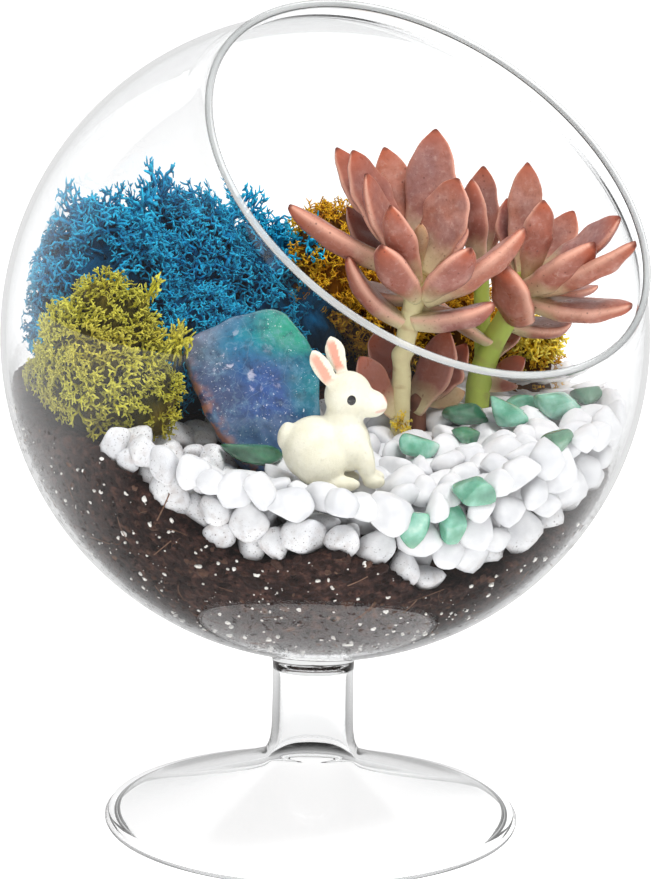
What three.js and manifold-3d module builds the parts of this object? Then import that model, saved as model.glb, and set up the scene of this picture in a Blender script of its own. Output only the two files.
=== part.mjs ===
// A planted glass bowl on a foot: millimetres, +Z up, origin on the flat that the foot stands on,
// under the middle of the globe. The mouth looks up, to the right (+X) and to the front (-Y).
import * as THREE from 'three';
import { mergeVertices } from 'three/addons/utils/BufferGeometryUtils.js';
import Module from 'manifold-3d';

const wasm = await Module();
wasm.setup();

// ---- driving dimensions ----
const GLOBE_RADIUS = 75;
const GLASS_WALL = 2;
const GLOBE_CENTRE = new THREE.Vector3(0, 0, 116.5);
const MOUTH_AZIMUTH = -51.3; // degrees from +X
const MOUTH_TILT = 46.9; // degrees above level
const LIP_RADIUS = 54.6; // outer, at the lip
const LIP_HEIGHT = 54.4; // from the globe's centre along the mouth's axis
const LIP_BEAD = 1.5; // radius of the lip's round edge
const LIP_BEAD_OUT = 0.4; // how far it stands out past the lip radius
const NECK_HEIGHT = 47; // where the wall leaves the sphere
const STEM_X = -1.4; // the stem stands a little off the globe's axis
const STEM_RADIUS = 9.63;
const STEM_TOP_RADIUS = 10.6;
const STEM_WALL = 1.8;
const STEM_TOP = 43.3; // inside the globe's wall
const FOOT_RADIUS = 49.2;
const FOOT_RISE = 14;
const BED_FRONT_HEIGHT = 93; // pebble level at y = BED_FRONT_Y
const BED_FRONT_Y = -55;
const BED_SLOPE = 0.125;
const BED_RIGHT_RISE = 3; // the pebbles lie higher on the right
const BED_HEAPS = [ // and are heaped round the stems and at the left end
  { x: 20, y: -10, height: 2, spread: 15 },
  { x: -35, y: -32, height: 3, spread: 9 },
];
const BED_DEPTH = 8; // pebbles over soil, away from the glass
const SEAT_GAP = 0.35; // between pieces that rest on each other
const MOSS_GAP = 0.9; // under the moss
const GLASS_GAP = 0.4; // between the glass and what lies against it
const GLOBE_SIDES = 28;
const GLOBE_STEPS = 10; // along the wall, from the pole to the neck
const FOOT_SIDES = 24;
const ROOT_DEPTH = 84; // height of the stems' lower ends
const FILL_FLOOR = 30; // below the globe, for shapes that the globe cuts off
const ROOM_TOP = 180; // above all that lies on the ground

const MATERIALS = {
  glass: { color: 0xf2f7f7, roughness: 0.02, metalness: 0, transparent: true, opacity: 0.3 },
  soil: { color: 0x3a2b27, roughness: 0.95, metalness: 0 },
  pebble: { color: 0xf3f3f1, roughness: 0.75, metalness: 0 },
  greenStone: { color: 0x5fae8c, roughness: 0.2, metalness: 0 },
  fluorite: { color: 0x3c7d97, roughness: 0.25, metalness: 0 },
  resin: { color: 0xf0efd8, roughness: 0.5, metalness: 0 },
  blueMoss: { color: 0x0a7fb8, roughness: 0.9, metalness: 0 },
  greenMoss: { color: 0xaaaa3c, roughness: 0.9, metalness: 0 },
  yellowMoss: { color: 0xc79a1e, roughness: 0.9, metalness: 0 },
  leaf: { color: 0xaf6a5c, roughness: 0.5, metalness: 0 },
};

// ---- small helpers ----
const vec = (x, y, z) => new THREE.Vector3(x, y, z);
const mix = (a, b, t) => a + (b - a) * t;
const smooth = THREE.MathUtils.smoothstep;
const radians = THREE.MathUtils.degToRad;

function seeded(seed) {
  let state = seed >>> 0;
  return () => {
    state = (Math.imul(1664525, state) + 1013904223) >>> 0;
    return state / 4294967296;
  };
}

// A closed geometry as a solid whose shared vertices are merged and whose flat slivers are gone.
function solidOf(geometry) {
  const bare = new THREE.BufferGeometry();
  bare.setAttribute('position', geometry.getAttribute('position').clone());
  if (geometry.index) {
    bare.setIndex(geometry.index.clone());
  }
  const merged = mergeVertices(bare, 1e-4);
  const corners = [];
  const index = merged.index.array;
  for (let i = 0; i < index.length; i += 3) {
    const [a, b, c] = [index[i], index[i + 1], index[i + 2]];
    if (a !== b && b !== c && c !== a) {
      corners.push(a, b, c);
    }
  }
  const vertProperties = new Float32Array(merged.getAttribute('position').array);
  const triVerts = new Uint32Array(corners);
  const solid = new wasm.Manifold(new wasm.Mesh({ numProp: 3, vertProperties, triVerts }));
  if (solid.volume() > 0) {
    return solid;
  }
  const turned = new Uint32Array(triVerts.length);
  for (let i = 0; i < triVerts.length; i += 3) {
    turned.set([triVerts[i], triVerts[i + 2], triVerts[i + 1]], i);
  }
  return new wasm.Manifold(new wasm.Mesh({ numProp: 3, vertProperties, triVerts: turned }));
}

const join = (solids) => solids.reduce((whole, one) => whole.add(one));

// The largest body of a solid, without the loose scraps and sealed hollows that cutting leaves.
function mainBody(solid) {
  return solid.decompose().reduce((best, one) => (one.volume() > best.volume() ? one : best));
}

function addPiece(group, name, solid, look) {
  const shape = mainBody(solid).getMesh();
  const geometry = new THREE.BufferGeometry();
  geometry.setAttribute('position', new THREE.BufferAttribute(new Float32Array(shape.vertProperties), 3));
  geometry.setIndex(new THREE.BufferAttribute(new Uint32Array(shape.triVerts), 1));
  geometry.computeVertexNormals();
  const mesh = new THREE.Mesh(geometry, new THREE.MeshStandardMaterial(MATERIALS[look]));
  mesh.name = name;
  group.add(mesh);
}

// A skin over rings of points, closed by a point at each end.
function loft(rings, start, end) {
  const sides = rings[0].length;
  const points = [start, ...rings.flat(), end];
  const index = [];
  const last = points.length - 1;
  const foot = last - sides;
  for (let i = 0; i < sides; i += 1) {
    const j = (i + 1) % sides;
    index.push(0, 1 + j, 1 + i, last, foot + i, foot + j);
    for (let k = 0; k + 1 < rings.length; k += 1) {
      const a = 1 + k * sides;
      const b = a + sides;
      index.push(a + i, a + j, b + j, a + i, b + j, b + i);
    }
  }
  const geometry = new THREE.BufferGeometry().setFromPoints(points);
  geometry.setIndex(index);
  return solidOf(geometry);
}

// A round tube through the given points, with a radius at each.
function stem(points, radii, grow = 0, sides = 7) {
  const places = points.map((p) => vec(...p));
  const rings = places.map((place, i) => {
    const along = places[Math.min(i + 1, places.length - 1)].clone().sub(places[Math.max(i - 1, 0)]);
    const side = along.clone().cross(vec(0, 1, 0)).normalize();
    const front = side.clone().cross(along).normalize();
    return Array.from({ length: sides }, (_, k) => {
      const angle = (2 * Math.PI * k) / sides;
      return place
        .clone()
        .addScaledVector(side, (radii[i] + grow) * Math.cos(angle))
        .addScaledVector(front, (radii[i] + grow) * Math.sin(angle));
    });
  });
  const tip = places.at(-1).clone().sub(places.at(-2)).setLength(0.6 + grow).add(places.at(-1));
  const root = places[0].clone().sub(places[1]).setLength(0.3 + grow).add(places[0]);
  return loft(rings, root, tip);
}

// One thick pointed leaf. Its upper side looks towards face, and it bows away from that side.
const LEAF_STATIONS = [0, 0.3, 0.62, 0.88];
const LEAF_WIDTHS = [0.42, 0.82, 1, 0.62];
const LEAF_SECTION = [[1, 0.05], [0.5, 0.32], [-0.5, 0.32], [-1, 0.05], [-0.5, -0.45], [0.5, -0.45]];

function leaf([root, tip, width, thickness, face, bow = 1.5], grow = 0) {
  const start = vec(...root);
  const end = vec(...tip);
  const along = end.clone().sub(start).normalize();
  const side = along.clone().cross(vec(...face)).normalize();
  const up = side.clone().cross(along);
  end.addScaledVector(along, grow);
  const middle = start.clone().lerp(end, 0.5).addScaledVector(up, -2 * bow);
  const spine = new THREE.QuadraticBezierCurve3(start, middle, end);
  const rings = LEAF_STATIONS.map((t, i) => {
    const centre = spine.getPoint(t);
    const half = (width / 2) * LEAF_WIDTHS[i] + grow;
    const deep = thickness * Math.sqrt(LEAF_WIDTHS[i]) * (1 - 0.3 * t) + 2 * grow;
    return LEAF_SECTION.map(([across, through]) =>
      centre.clone().addScaledVector(side, across * half).addScaledVector(up, through * deep));
  });
  return loft(rings, start.clone().addScaledVector(along, -0.4 - grow), end);
}

// ---- glass ----
// Turns a shape made about +Y so that it stands about the mouth's axis, round the globe's centre.
const MOUTH_AXIS = vec(
  Math.cos(radians(MOUTH_TILT)) * Math.cos(radians(MOUTH_AZIMUTH)),
  Math.cos(radians(MOUTH_TILT)) * Math.sin(radians(MOUTH_AZIMUTH)),
  Math.sin(radians(MOUTH_TILT)),
);

function aboutMouthAxis(profile) {
  const turned = new THREE.LatheGeometry(profile, GLOBE_SIDES);
  turned.applyQuaternion(new THREE.Quaternion().setFromUnitVectors(vec(0, 1, 0), MOUTH_AXIS));
  turned.translate(...GLOBE_CENTRE);
  return solidOf(turned);
}

// From the pole opposite the mouth up to the neck, then turned up to the lip.
function wallProfile(radius, lipRadius) {
  const points = [];
  const neckAngle = Math.asin(NECK_HEIGHT / radius);
  for (let i = 0; i <= GLOBE_STEPS; i += 1) {
    const angle = mix(-Math.PI / 2, neckAngle, i / GLOBE_STEPS);
    points.push(new THREE.Vector2(i === 0 ? 0 : radius * Math.cos(angle), radius * Math.sin(angle)));
  }
  const neckRadius = radius * Math.cos(neckAngle);
  const bendRadius = mix(neckRadius, lipRadius, 0.72);
  points.push(new THREE.Vector2(bendRadius, mix(NECK_HEIGHT, LIP_HEIGHT, 0.5)));
  return points;
}

function globe() {
  const outer = wallProfile(GLOBE_RADIUS, LIP_RADIUS);
  const inner = wallProfile(GLOBE_RADIUS - GLASS_WALL, LIP_RADIUS - GLASS_WALL);
  const bead = [];
  for (let i = 0; i <= 4; i += 1) {
    const angle = mix(-0.25, Math.PI + 0.25, i / 4);
    const centre = LIP_RADIUS - LIP_BEAD + LIP_BEAD_OUT;
    const [out, up] = [Math.cos(angle), Math.sin(angle)];
    bead.push(new THREE.Vector2(centre + LIP_BEAD * out, LIP_HEIGHT + LIP_BEAD * up));
  }
  return aboutMouthAxis([...outer, ...bead, ...inner.reverse()]);
}

// The room inside the glass, with the same facets, a little smaller than the glass.
function cavity(gap = GLASS_GAP) {
  const inner = wallProfile(GLOBE_RADIUS - GLASS_WALL, LIP_RADIUS - GLASS_WALL);
  const shrink = 1 - gap / (GLOBE_RADIUS - GLASS_WALL);
  const profile = inner.map((p) => p.clone().multiplyScalar(shrink));
  profile.push(new THREE.Vector2(0, profile.at(-1).y));
  return aboutMouthAxis(profile);
}

function foot() {
  const inside = STEM_RADIUS - STEM_WALL;
  const outline = [
    [inside, STEM_TOP],
    [STEM_TOP_RADIUS, STEM_TOP],
    [STEM_TOP_RADIUS, 41],
    [STEM_RADIUS, 38.6],
    [STEM_RADIUS, 19.5],
    [STEM_RADIUS + 1.2, FOOT_RISE + 3],
    [STEM_RADIUS + 4.4, FOOT_RISE + 1],
    [mix(STEM_RADIUS, FOOT_RADIUS, 0.45), 9.8],
    [mix(STEM_RADIUS, FOOT_RADIUS, 0.8), 4.9],
    [FOOT_RADIUS - 1, 2.9],
    [FOOT_RADIUS, 1.5],
    [FOOT_RADIUS - 0.7, 0],
    [FOOT_RADIUS - 2.8, 0],
    [mix(STEM_RADIUS, FOOT_RADIUS, 0.8), 2.9],
    [mix(STEM_RADIUS, FOOT_RADIUS, 0.45), 7.6],
    [STEM_RADIUS + 2.2, FOOT_RISE - 2],
    [inside, FOOT_RISE + 2],
    [inside, STEM_TOP],
  ];
  const shape = new THREE.LatheGeometry(outline.map(([r, z]) => new THREE.Vector2(r, z)), FOOT_SIDES);
  shape.rotateX(Math.PI / 2);
  shape.translate(STEM_X, 0, 0);
  return solidOf(shape);
}

// ---- ground ----
// Azimuth in degrees, top of the filling and top of the soil, both where they meet the glass.
const GLASS_LINE = [
  [-180, 108, 108], [-150, 103, 103], [-131, 99, 99], [-126, 102.5, 95], [-119, 101, 88],
  [-111, 98, 81], [-104, 97, 77], [-96, 95, 79], [-88, 94, 81], [-77, 92, 77], [-67, 92, 70],
  [-58, 94, 70], [-50, 99, 73], [-41, 102, 76], [-33, 103, 81], [-16, 104, 86], [10, 104, 90],
  [38, 105, 97], [48, 106, 106], [180, 108, 108],
];

// The pebbles' edge across the bowl, seen from above; they lie to the right and front of it.
const BED_EDGE = [[-53, -62], [-43, -46], [-40, -28], [-30, -14], [0, 4], [22, 20], [40, 34], [58, 58]];
const BED_CORNER = [90, -90];

function glassLine(azimuth, column) {
  const next = GLASS_LINE.findIndex((row) => row[0] > azimuth);
  if (next < 1) {
    return GLASS_LINE[0][column];
  }
  const [low, high] = [GLASS_LINE[next - 1], GLASS_LINE[next]];
  return mix(low[column], high[column], (azimuth - low[0]) / (high[0] - low[0]));
}

// Distance inside the pebbles' edge, negative on the moss side.
function insideBed(x, y) {
  let nearest = Infinity;
  let side = -1;
  for (let i = 0; i + 1 < BED_EDGE.length; i += 1) {
    const [ax, ay] = BED_EDGE[i];
    const [bx, by] = BED_EDGE[i + 1];
    const [dx, dy] = [bx - ax, by - ay];
    const t = THREE.MathUtils.clamp(((x - ax) * dx + (y - ay) * dy) / (dx * dx + dy * dy), 0, 1);
    const away = Math.hypot(x - ax - t * dx, y - ay - t * dy);
    if (away < nearest) {
      nearest = away;
      side = Math.sign((x - ax) * dy - (y - ay) * dx);
    }
  }
  return nearest * side;
}

function bedLevel(x, y) {
  let level = BED_FRONT_HEIGHT + (y - BED_FRONT_Y) * BED_SLOPE + BED_RIGHT_RISE * smooth(x, 10, 55);
  for (const heap of BED_HEAPS) {
    const away = Math.hypot(x - heap.x, y - heap.y) / heap.spread;
    level += heap.height * Math.exp(-(away ** 2) / 2);
  }
  return level;
}

function groundTop(x, y) {
  const rim = glassLine(THREE.MathUtils.radToDeg(Math.atan2(y, x)), 1);
  return mix(bedLevel(x, y), rim, smooth(Math.hypot(x, y), 46, 70));
}

function soilTop(x, y) {
  const rim = glassLine(THREE.MathUtils.radToDeg(Math.atan2(y, x)), 2);
  const underBed = mix(bedLevel(x, y) - BED_DEPTH, rim, smooth(Math.hypot(x, y), 42, 68));
  return mix(groundTop(x, y), underBed, smooth(insideBed(x, y), -3, 5));
}

// Everything below a surface given as a height over x and y.
const GROUND_RINGS = [15, 29, 42, 53, 63, 76];
const GROUND_SIDES = 24;

function below(height) {
  const rings = GROUND_RINGS.map((radius) => Array.from({ length: GROUND_SIDES }, (_, k) => {
    const angle = (2 * Math.PI * k) / GROUND_SIDES;
    const [x, y] = [radius * Math.cos(angle), radius * Math.sin(angle)];
    return vec(x, y, height(x, y));
  }));
  const wall = rings.at(-1).map((p) => vec(p.x, p.y, FILL_FLOOR));
  return loft([...rings, wall], vec(0, 0, height(0, 0)), vec(0, 0, FILL_FLOOR));
}

// All that stands over an outline seen from above.
function over(outline) {
  const shape = new THREE.Shape(outline.map(([x, y]) => new THREE.Vector2(x, y)));
  const block = new THREE.ExtrudeGeometry(shape, { depth: ROOM_TOP - FILL_FLOOR, bevelEnabled: false });
  block.translate(0, 0, FILL_FLOOR);
  return solidOf(block);
}

// ---- pebbles ----
const PEBBLE = { long: 5.8, wide: 5.1, high: 4, spacing: 11.2 }; // half sizes, and the step
const BED_REACH = 67; // the top layer's middles stay within this radius
const WALL_ROW = 7.8; // height of a row against the glass
const WALL_STEP = 9.6; // degrees from stone to stone in a row

function pebble(x, y, z, random) {
  const stone = new THREE.IcosahedronGeometry(1, 0);
  const size = mix(0.88, 1.08, random());
  stone.rotateX(random() * Math.PI);
  stone.scale(PEBBLE.long * size, PEBBLE.wide * size, PEBBLE.high * size);
  stone.rotateY(radians(mix(-25, 25, random())));
  stone.rotateZ(random() * Math.PI);
  stone.translate(x, y, z);
  return solidOf(stone);
}

// One layer over the bed, in staggered rows.
function topPebbles(random) {
  const stones = [];
  const rowStep = PEBBLE.spacing * 0.87;
  for (let row = -9; row <= 9; row += 1) {
    for (let column = -9; column <= 9; column += 1) {
      const x = (column + (row % 2) / 2) * PEBBLE.spacing + mix(-1, 1, random());
      const y = row * rowStep + mix(-1, 1, random());
      const lift = mix(-0.9, 0.4, random());
      if (Math.hypot(x, y) < BED_REACH && insideBed(x, y) > 1.5) {
        stones.push(pebble(x, y, groundTop(x, y) - PEBBLE.high + lift, random));
      }
    }
  }
  return stones;
}

// Rows against the glass, from under the top layer down to the soil.
function wallPebbles(random) {
  const stones = [];
  for (let azimuth = -128; azimuth < 44; azimuth += WALL_STEP) {
    const top = glassLine(azimuth, 1);
    const bottom = glassLine(azimuth, 2);
    const rows = Math.floor((top - bottom - PEBBLE.high) / WALL_ROW);
    for (let row = 1; row <= rows; row += 1) {
      const z = top - 3 - row * WALL_ROW + mix(-0.8, 0.8, random());
      const angle = radians(azimuth + (row % 2) * (WALL_STEP / 2) + mix(-0.8, 0.8, random()));
      const level = z - GLOBE_CENTRE.z;
      const reach = Math.sqrt((GLOBE_RADIUS - GLASS_WALL) ** 2 - level ** 2) - PEBBLE.wide - GLASS_GAP;
      stones.push(pebble(reach * Math.cos(angle), reach * Math.sin(angle), z, random));
    }
  }
  return stones;
}

function pebbleBed(room, soilSolid) {
  const random = seeded(11);
  const core = below((x, y) => groundTop(x, y) - PEBBLE.high)
    .intersect(over([...BED_EDGE, BED_CORNER]))
    .intersect(cavity(PEBBLE.wide));
  const stones = join([...topPebbles(random), ...wallPebbles(random)]).intersect(room);
  return core.add(stones).subtract(soilSolid);
}

// ---- green chips ----
// Place of the chip's middle, half sizes, turn about X, Y and Z in degrees.
const CHIPS = [
  [[-15.7, -37.6, 96.2], [7.2, 3.2, 2.6], [0, 8, 4]],
  [[21.1, -30.8, 97], [4.6, 3.4, 2.6], [20, 18, 10]],
  [[44.4, -2.2, 102.2], [6, 3.2, 2.8], [10, -8, 8]],
  [[53.6, -8.4, 103.2], [6, 4.2, 4], [20, 10, -10]],
  [[61.2, 1.8, 104], [4.2, 3.2, 2.8], [0, 15, 30]],
  [[42, -13.4, 101.6], [4.8, 3.6, 3.2], [25, 12, 0]],
  [[32.4, -11.4, 101.2], [5.4, 3, 2.6], [0, 0, 8]],
  [[32, -58.4, 93], [5.2, 4, 3.2], [30, 6, -10]],
  [[28, -57, 85.6], [3.4, 2.6, 4.2], [0, 25, -25]],
  [[19.8, -60.4, 85.6], [3, 2.4, 4.4], [0, 30, -12]],
  [[32.4, -24.2, 98.4], [3.2, 2.6, 2.2], [0, 20, 40]],
  [[51, -38.4, 100.6], [4.2, 3.2, 2.6], [0, -10, 20]],
];

function chip([centre, half, turn], grow = 0) {
  const stone = new THREE.IcosahedronGeometry(1, 0);
  stone.scale(half[0] + grow, half[1] + grow, half[2] + grow);
  stone.rotateX(radians(turn[0])).rotateY(radians(turn[1])).rotateZ(radians(turn[2]));
  stone.translate(...centre);
  return solidOf(stone);
}

// ---- crystal slab ----
// Outline across (x) and up the leaning slab, from the corner at its lower left round its top.
const SLAB = { thickness: 9, lean: 17, frontY: -34.5, baseZ: 90.5 };
const SLAB_OUTLINE = [
  [-19, 2.5], [-26.2, 12.8], [-30, 21], [-32.5, 29.3], [-28.6, 32.6], [-19.2, 36.7],
  [-13.9, 38.2], [-9.6, 38.3], [-3.3, 30.7], [-1, 23.7], [-0.6, 13], [-3, 2], [-11, -0.5],
];

function slab(grow = 0) {
  const shape = new THREE.Shape(SLAB_OUTLINE.map(([x, up]) => new THREE.Vector2(x, up)));
  const block = new THREE.ExtrudeGeometry(shape, {
    depth: SLAB.thickness - 2,
    bevelEnabled: true,
    bevelThickness: 1 + grow,
    bevelSize: 0.8 + grow,
    bevelOffset: -0.8,
    bevelSegments: 1,
  });
  block.translate(0, 0, 1 - SLAB.thickness);
  block.rotateX(Math.PI / 2 - radians(SLAB.lean));
  block.translate(0, SLAB.frontY, SLAB.baseZ);
  return solidOf(block);
}

// ---- rabbit ----
const RABBIT_Y = -50;
const EAR_THICKNESS = 2.2;

function rabbitEar(root, tip, width, y, grow) {
  const [from, to] = [[root[0], y, root[1]], [tip[0], y, tip[1]]];
  return leaf([from, to, width, EAR_THICKNESS, [0.25, -1, 0], 0.3], grow);
}

function rabbit(grow = 0) {
  const part = (x, y, z, radii, tilt = 0) => {
    const ball = new THREE.SphereGeometry(1, 7, 4);
    ball.scale(...radii.map((r) => r + grow));
    ball.rotateY(radians(tilt));
    ball.translate(x, RABBIT_Y + y, z);
    return solidOf(ball);
  };
  const pairs = [-1, 1].flatMap((side) => [
    part(-0.8, side * 3.4, 98.2, [6, 3.2, 5.6]), // thigh
    part(3.6, side * 4, 93.4, [4.6, 1.9, 1.8]), // hind foot
    part(9, side * 2.4, 98.4, [2.1, 1.9, 5.4], -12), // foreleg
    part(11, side * 2.5, 93.8, [2.5, 1.7, 1.6]), // front paw
  ]);
  return join([
    part(-1.6, 0, 100.2, [7.3, 6.2, 7.3]), // rump
    part(4.6, 0, 101.8, [5.6, 4.8, 6.6], -14), // chest
    part(4.4, 0, 107.4, [4.2, 3.8, 3.8]), // neck
    part(5.2, 0, 112, [5.2, 4.6, 5.4]), // head
    part(9.7, 0, 110.4, [4, 3.1, 3.1], 8), // muzzle
    part(-8, 0, 103, [1.9, 2.2, 3.1], 12), // tail
    ...pairs,
    rabbitEar([2.2, 113.6], [-2.8, 122.2], 4.4, RABBIT_Y - 2, grow),
    rabbitEar([4.2, 115.6], [1, 124.8], 4.4, RABBIT_Y + 2, grow),
  ]);
}

// ---- moss ----
// A lump of moss is a round core whose every facet is drawn out into a three-sided sprig.
const SPRIG_STRAY = 0.16; // of the lump's size
const CORE_SIZE = 0.8;
const FINE_LUMP = 14; // a lump at least this wide has four times the sprigs

function mossLump([centre, half], random) {
  const detail = half[0] > FINE_LUMP ? 1 : 0;
  const facets = new THREE.IcosahedronGeometry(CORE_SIZE, detail).getAttribute('position');
  const points = [];
  for (let i = 0; i < facets.count; i += 3) {
    const corners = [0, 1, 2].map((k) => vec().fromBufferAttribute(facets, i + k));
    const middle = corners[0].clone().add(corners[1]).add(corners[2]).divideScalar(3);
    const tip = middle.setLength(mix(0.96, 1.12, random()));
    tip.add(vec(random() - 0.5, random() - 0.5, random() - 0.5).multiplyScalar(SPRIG_STRAY));
    for (let k = 0; k < 3; k += 1) {
      points.push(corners[k], corners[(k + 1) % 3], tip);
    }
  }
  const lump = new THREE.BufferGeometry().setFromPoints(points);
  lump.rotateZ(random() * Math.PI);
  lump.scale(...half);
  lump.translate(...centre);
  return solidOf(lump);
}

// A free sprig that stands up out of the mound.
function tallSprig([root, tip], width = 1.6) {
  const start = vec(...root);
  const heading = vec(...tip).sub(start).normalize();
  const across = heading.clone().cross(vec(0.3, 0.5, 0.8)).normalize();
  const aside = heading.clone().cross(across);
  const ring = [0, 1, 2].map((k) => {
    const angle = (2 * Math.PI * k) / 3;
    const rim = start.clone().addScaledVector(across, width * Math.cos(angle));
    return rim.addScaledVector(aside, width * Math.sin(angle));
  });
  return loft([ring], start.clone().addScaledVector(heading, -width), vec(...tip));
}

function moss({ lumps, seed, tall }) {
  const random = seeded(seed);
  return join([...lumps.map((lump) => mossLump(lump, random)), ...tall.map((one) => tallSprig(one))]);
}

const BLUE_MOSS = {
  lumps: [
    [[-51, 2, 122], [19, 20, 27]],
    [[-33, 22, 122], [19, 20, 28]],
    [[-15, 27, 119], [13.9, 18, 25]],
    [[-3, 22, 114], [9, 13, 20]],
    [[-30, -4, 112], [18, 12, 18]],
    [[-43, 38, 118], [13.5, 16, 22]],
    [[-20, 47, 113], [13.5, 13, 18]],
  ],
  seed: 21,
  tall: [[[-40, 14, 143], [-39, 13, 156]], [[-29, 16, 141], [-27, 14, 151]], [[-4, 18, 133], [-2, 16, 142]]],
};
const GREEN_MOSS = {
  lumps: [
    [[-50, -31, 113], [15, 15, 20]],
    [[-58, -24, 106], [12, 13, 13]],
    [[-40, -33, 107], [9, 10, 12]],
    [[-48, -32, 125], [9, 9, 11]],
  ],
  seed: 31,
  tall: [[[-40, -34, 126], [-38.5, -34, 135]], [[-33, -35, 116], [-30, -36, 124]]],
};
const YELLOW_MOSS = {
  lumps: [
    [[1, 25, 130], [12, 13, 17]],
    [[15, 30, 122], [13, 14, 17]],
    [[31, 35, 113], [13, 13, 15]],
    [[48, 31, 107], [10, 11, 10]],
    [[12, 47, 112], [13.5, 13, 15]],
  ],
  seed: 41,
  tall: [],
};

// Each moss keeps to its own room, seen from above, so that the three mounds never cross.
const MOSS_SPLIT = 0.2; // half the gap between two mounds
const GREEN_ROOM = [[-90, -80], [-26, -80], [-26, -20 - MOSS_SPLIT], [-90, -12 - MOSS_SPLIT]];
const BLUE_ROOM = [
  [-90, -12 + MOSS_SPLIT], [-26, -20 + MOSS_SPLIT], [-2, -20], [-2, 12],
  [-8 - MOSS_SPLIT, 24], [-8 - MOSS_SPLIT, 90], [-90, 90],
];
const YELLOW_ROOM = [[0, 12], [70, 12], [70, 90], [-8 + MOSS_SPLIT, 90], [-8 + MOSS_SPLIT, 24]];

// ---- succulents ----
// A leaf: root, tip, width, thickness, the way its upper side looks, bow.
const LEFT_STEM = {
  points: [
    [17.3, -15, ROOT_DEPTH], [17.4, -15, 100.7], [17.5, -15, 106.8], [17.7, -15, 112.3],
    [18.2, -15, 118.4], [19.6, -15, 125.4], [20.9, -15, 131.5], [21, -15, 138.1],
  ],
  radii: [2.2, 2.3, 2.2, 2.3, 2.2, 2.4, 2.6, 1.8],
};
const LEFT_LEAVES = [
  [[17.7, -15, 135.1], [-8.7, -17, 149.1], 7.6, 8.4, [0.3, 0.1, 1], 1.2],
  [[19.2, -15, 122.3], [4.7, -19, 138.1], 6.6, 7.4, [0.8, -0.1, 0.6], 2.2],
  [[18.7, -12.5, 137.1], [1.7, -8, 161.4], 9, 5, [0.6, -0.7, 0.3], 1],
  [[18.2, -12, 133], [4.5, -7, 147.8], 8, 5, [0.6, -0.6, 0.5], 1.5],
  [[19.2, -15.5, 136.6], [5.3, -16, 161.6], 10.5, 6, [0.6, -0.75, 0.2], 1.5],
  [[19.7, -17, 134.5], [8.4, -24, 157.3], 8.6, 5.6, [0.75, -0.5, 0.35], 1.5],
  [[20.4, -17, 132], [13.8, -29, 150.9], 7.4, 5.6, [0.3, 0.8, 0.5], 1],
  [[20.4, -12, 137.1], [12.6, -6, 161.5], 9.4, 5, [0.2, -1, 0.2], 1],
  [[21, -13, 136.6], [24.1, -11, 166.3], 11.6, 5.6, [-0.25, -1, 0.1], 1.6],
  [[21.7, -16.5, 134.5], [28.9, -21, 156.3], 11.6, 5.6, [-0.45, -0.85, 0.3], 1.2],
  [[21, -17, 136.6], [20.9, -21, 146.1], 3.6, 2.8, [0, 0.9, 0.4], 0.3],
  [[22.2, -13, 135.6], [32, -8, 143.7], 6.6, 4.6, [-0.5, -0.3, 0.8], 1],
  [[22.2, -17, 129.5], [31.8, -29, 141.7], 9.6, 7, [-0.3, 0.5, 0.8], 1.4],
  [[21.7, -16, 128.5], [44.1, -22, 145.5], 8, 8.8, [-0.5, 0, 0.85], 1.8],
  [[20.7, -17, 129], [11.9, -30, 142.1], 8.8, 7, [0.3, 0.5, 0.8], 1.4],
  [[19.6, -16, 123.4], [37.9, -21, 128.2], 7, 8.4, [-0.2, 0, 1], 1.2],
  [[20.8, -14, 127], [36.6, -5, 122], 7.6, 5, [0, 0, 1], 0.3],
  [[20.7, -13.5, 128], [8.2, -3, 130.3], 8, 5.4, [0, 0, 1], 1.2],
  [[16.4, -16, 101.7], [7.7, -23, 116], 8.4, 3.4, [0.5, -0.8, 0.2], 0.8],
];
const RIGHT_STEM = {
  points: [
    [35.7, 4, ROOT_DEPTH], [36.1, 4, 103.6], [38.3, 4, 113.2],
    [41.4, 4, 119.7], [44.4, 4, 125.2], [46.3, 4, 131.2],
  ],
  radii: [2.8, 2.9, 2.8, 2.7, 2.6, 2.2],
};
const RIGHT_LEAVES = [
  [[46.1, 5, 130.2], [46.1, 6, 157.5], 8.6, 5.4, [0.2, -1, 0.1], 1],
  [[45.6, 6, 130.2], [41.9, 11, 148.5], 8, 4.6, [0.5, -0.8, 0.3], 1],
  [[46.7, 3, 130.7], [49.5, -3, 149.8], 7.6, 5.4, [-0.2, 0.8, 0.5], 1],
  [[47.1, 5, 130.7], [57.6, 10, 145.9], 9, 4.8, [-0.4, -0.7, 0.5], 1],
  [[47.1, 4, 129.7], [66.8, -6, 146.6], 9.4, 6.2, [-0.5, -0.5, 0.7], 1],
  [[44.8, 1.5, 122.2], [40.8, -7, 135.2], 11.6, 8.2, [0.8, 0.5, 0.3], 0.4],
  [[46.5, 3, 128.7], [61.1, -8, 140.7], 11, 9.2, [-0.3, 0.4, 0.85], 1.4],
  [[46.9, 4, 127.7], [69.9, -13, 141.7], 8, 7.8, [-0.4, 0.2, 0.9], 1.4],
  [[46.5, 5, 127.2], [63.9, 10, 128.3], 7.6, 5, [0, 0, 1], 1],
  [[45.7, 3, 126.2], [70.4, -6, 126.3], 9, 8.2, [0, -0.2, 1], 1.8],
  [[42.3, 5, 120.2], [57.8, 8, 119.7], 8.4, 6.4, [0, -0.2, 1], 1.2],
  [[39.5, 3, 115.2], [24.8, -1.5, 127], 6.4, 5, [0.5, 0, 0.9], 1],
  [[39.5, 6, 111.7], [45.4, 10, 121.1], 6, 3.4, [-0.5, -0.8, 0], 0.6],
  [[37.9, 3.5, 105.7], [46.7, 2, 112.2], 5.6, 3.4, [-0.5, -0.8, 0.2], 0.6],
];
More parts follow.
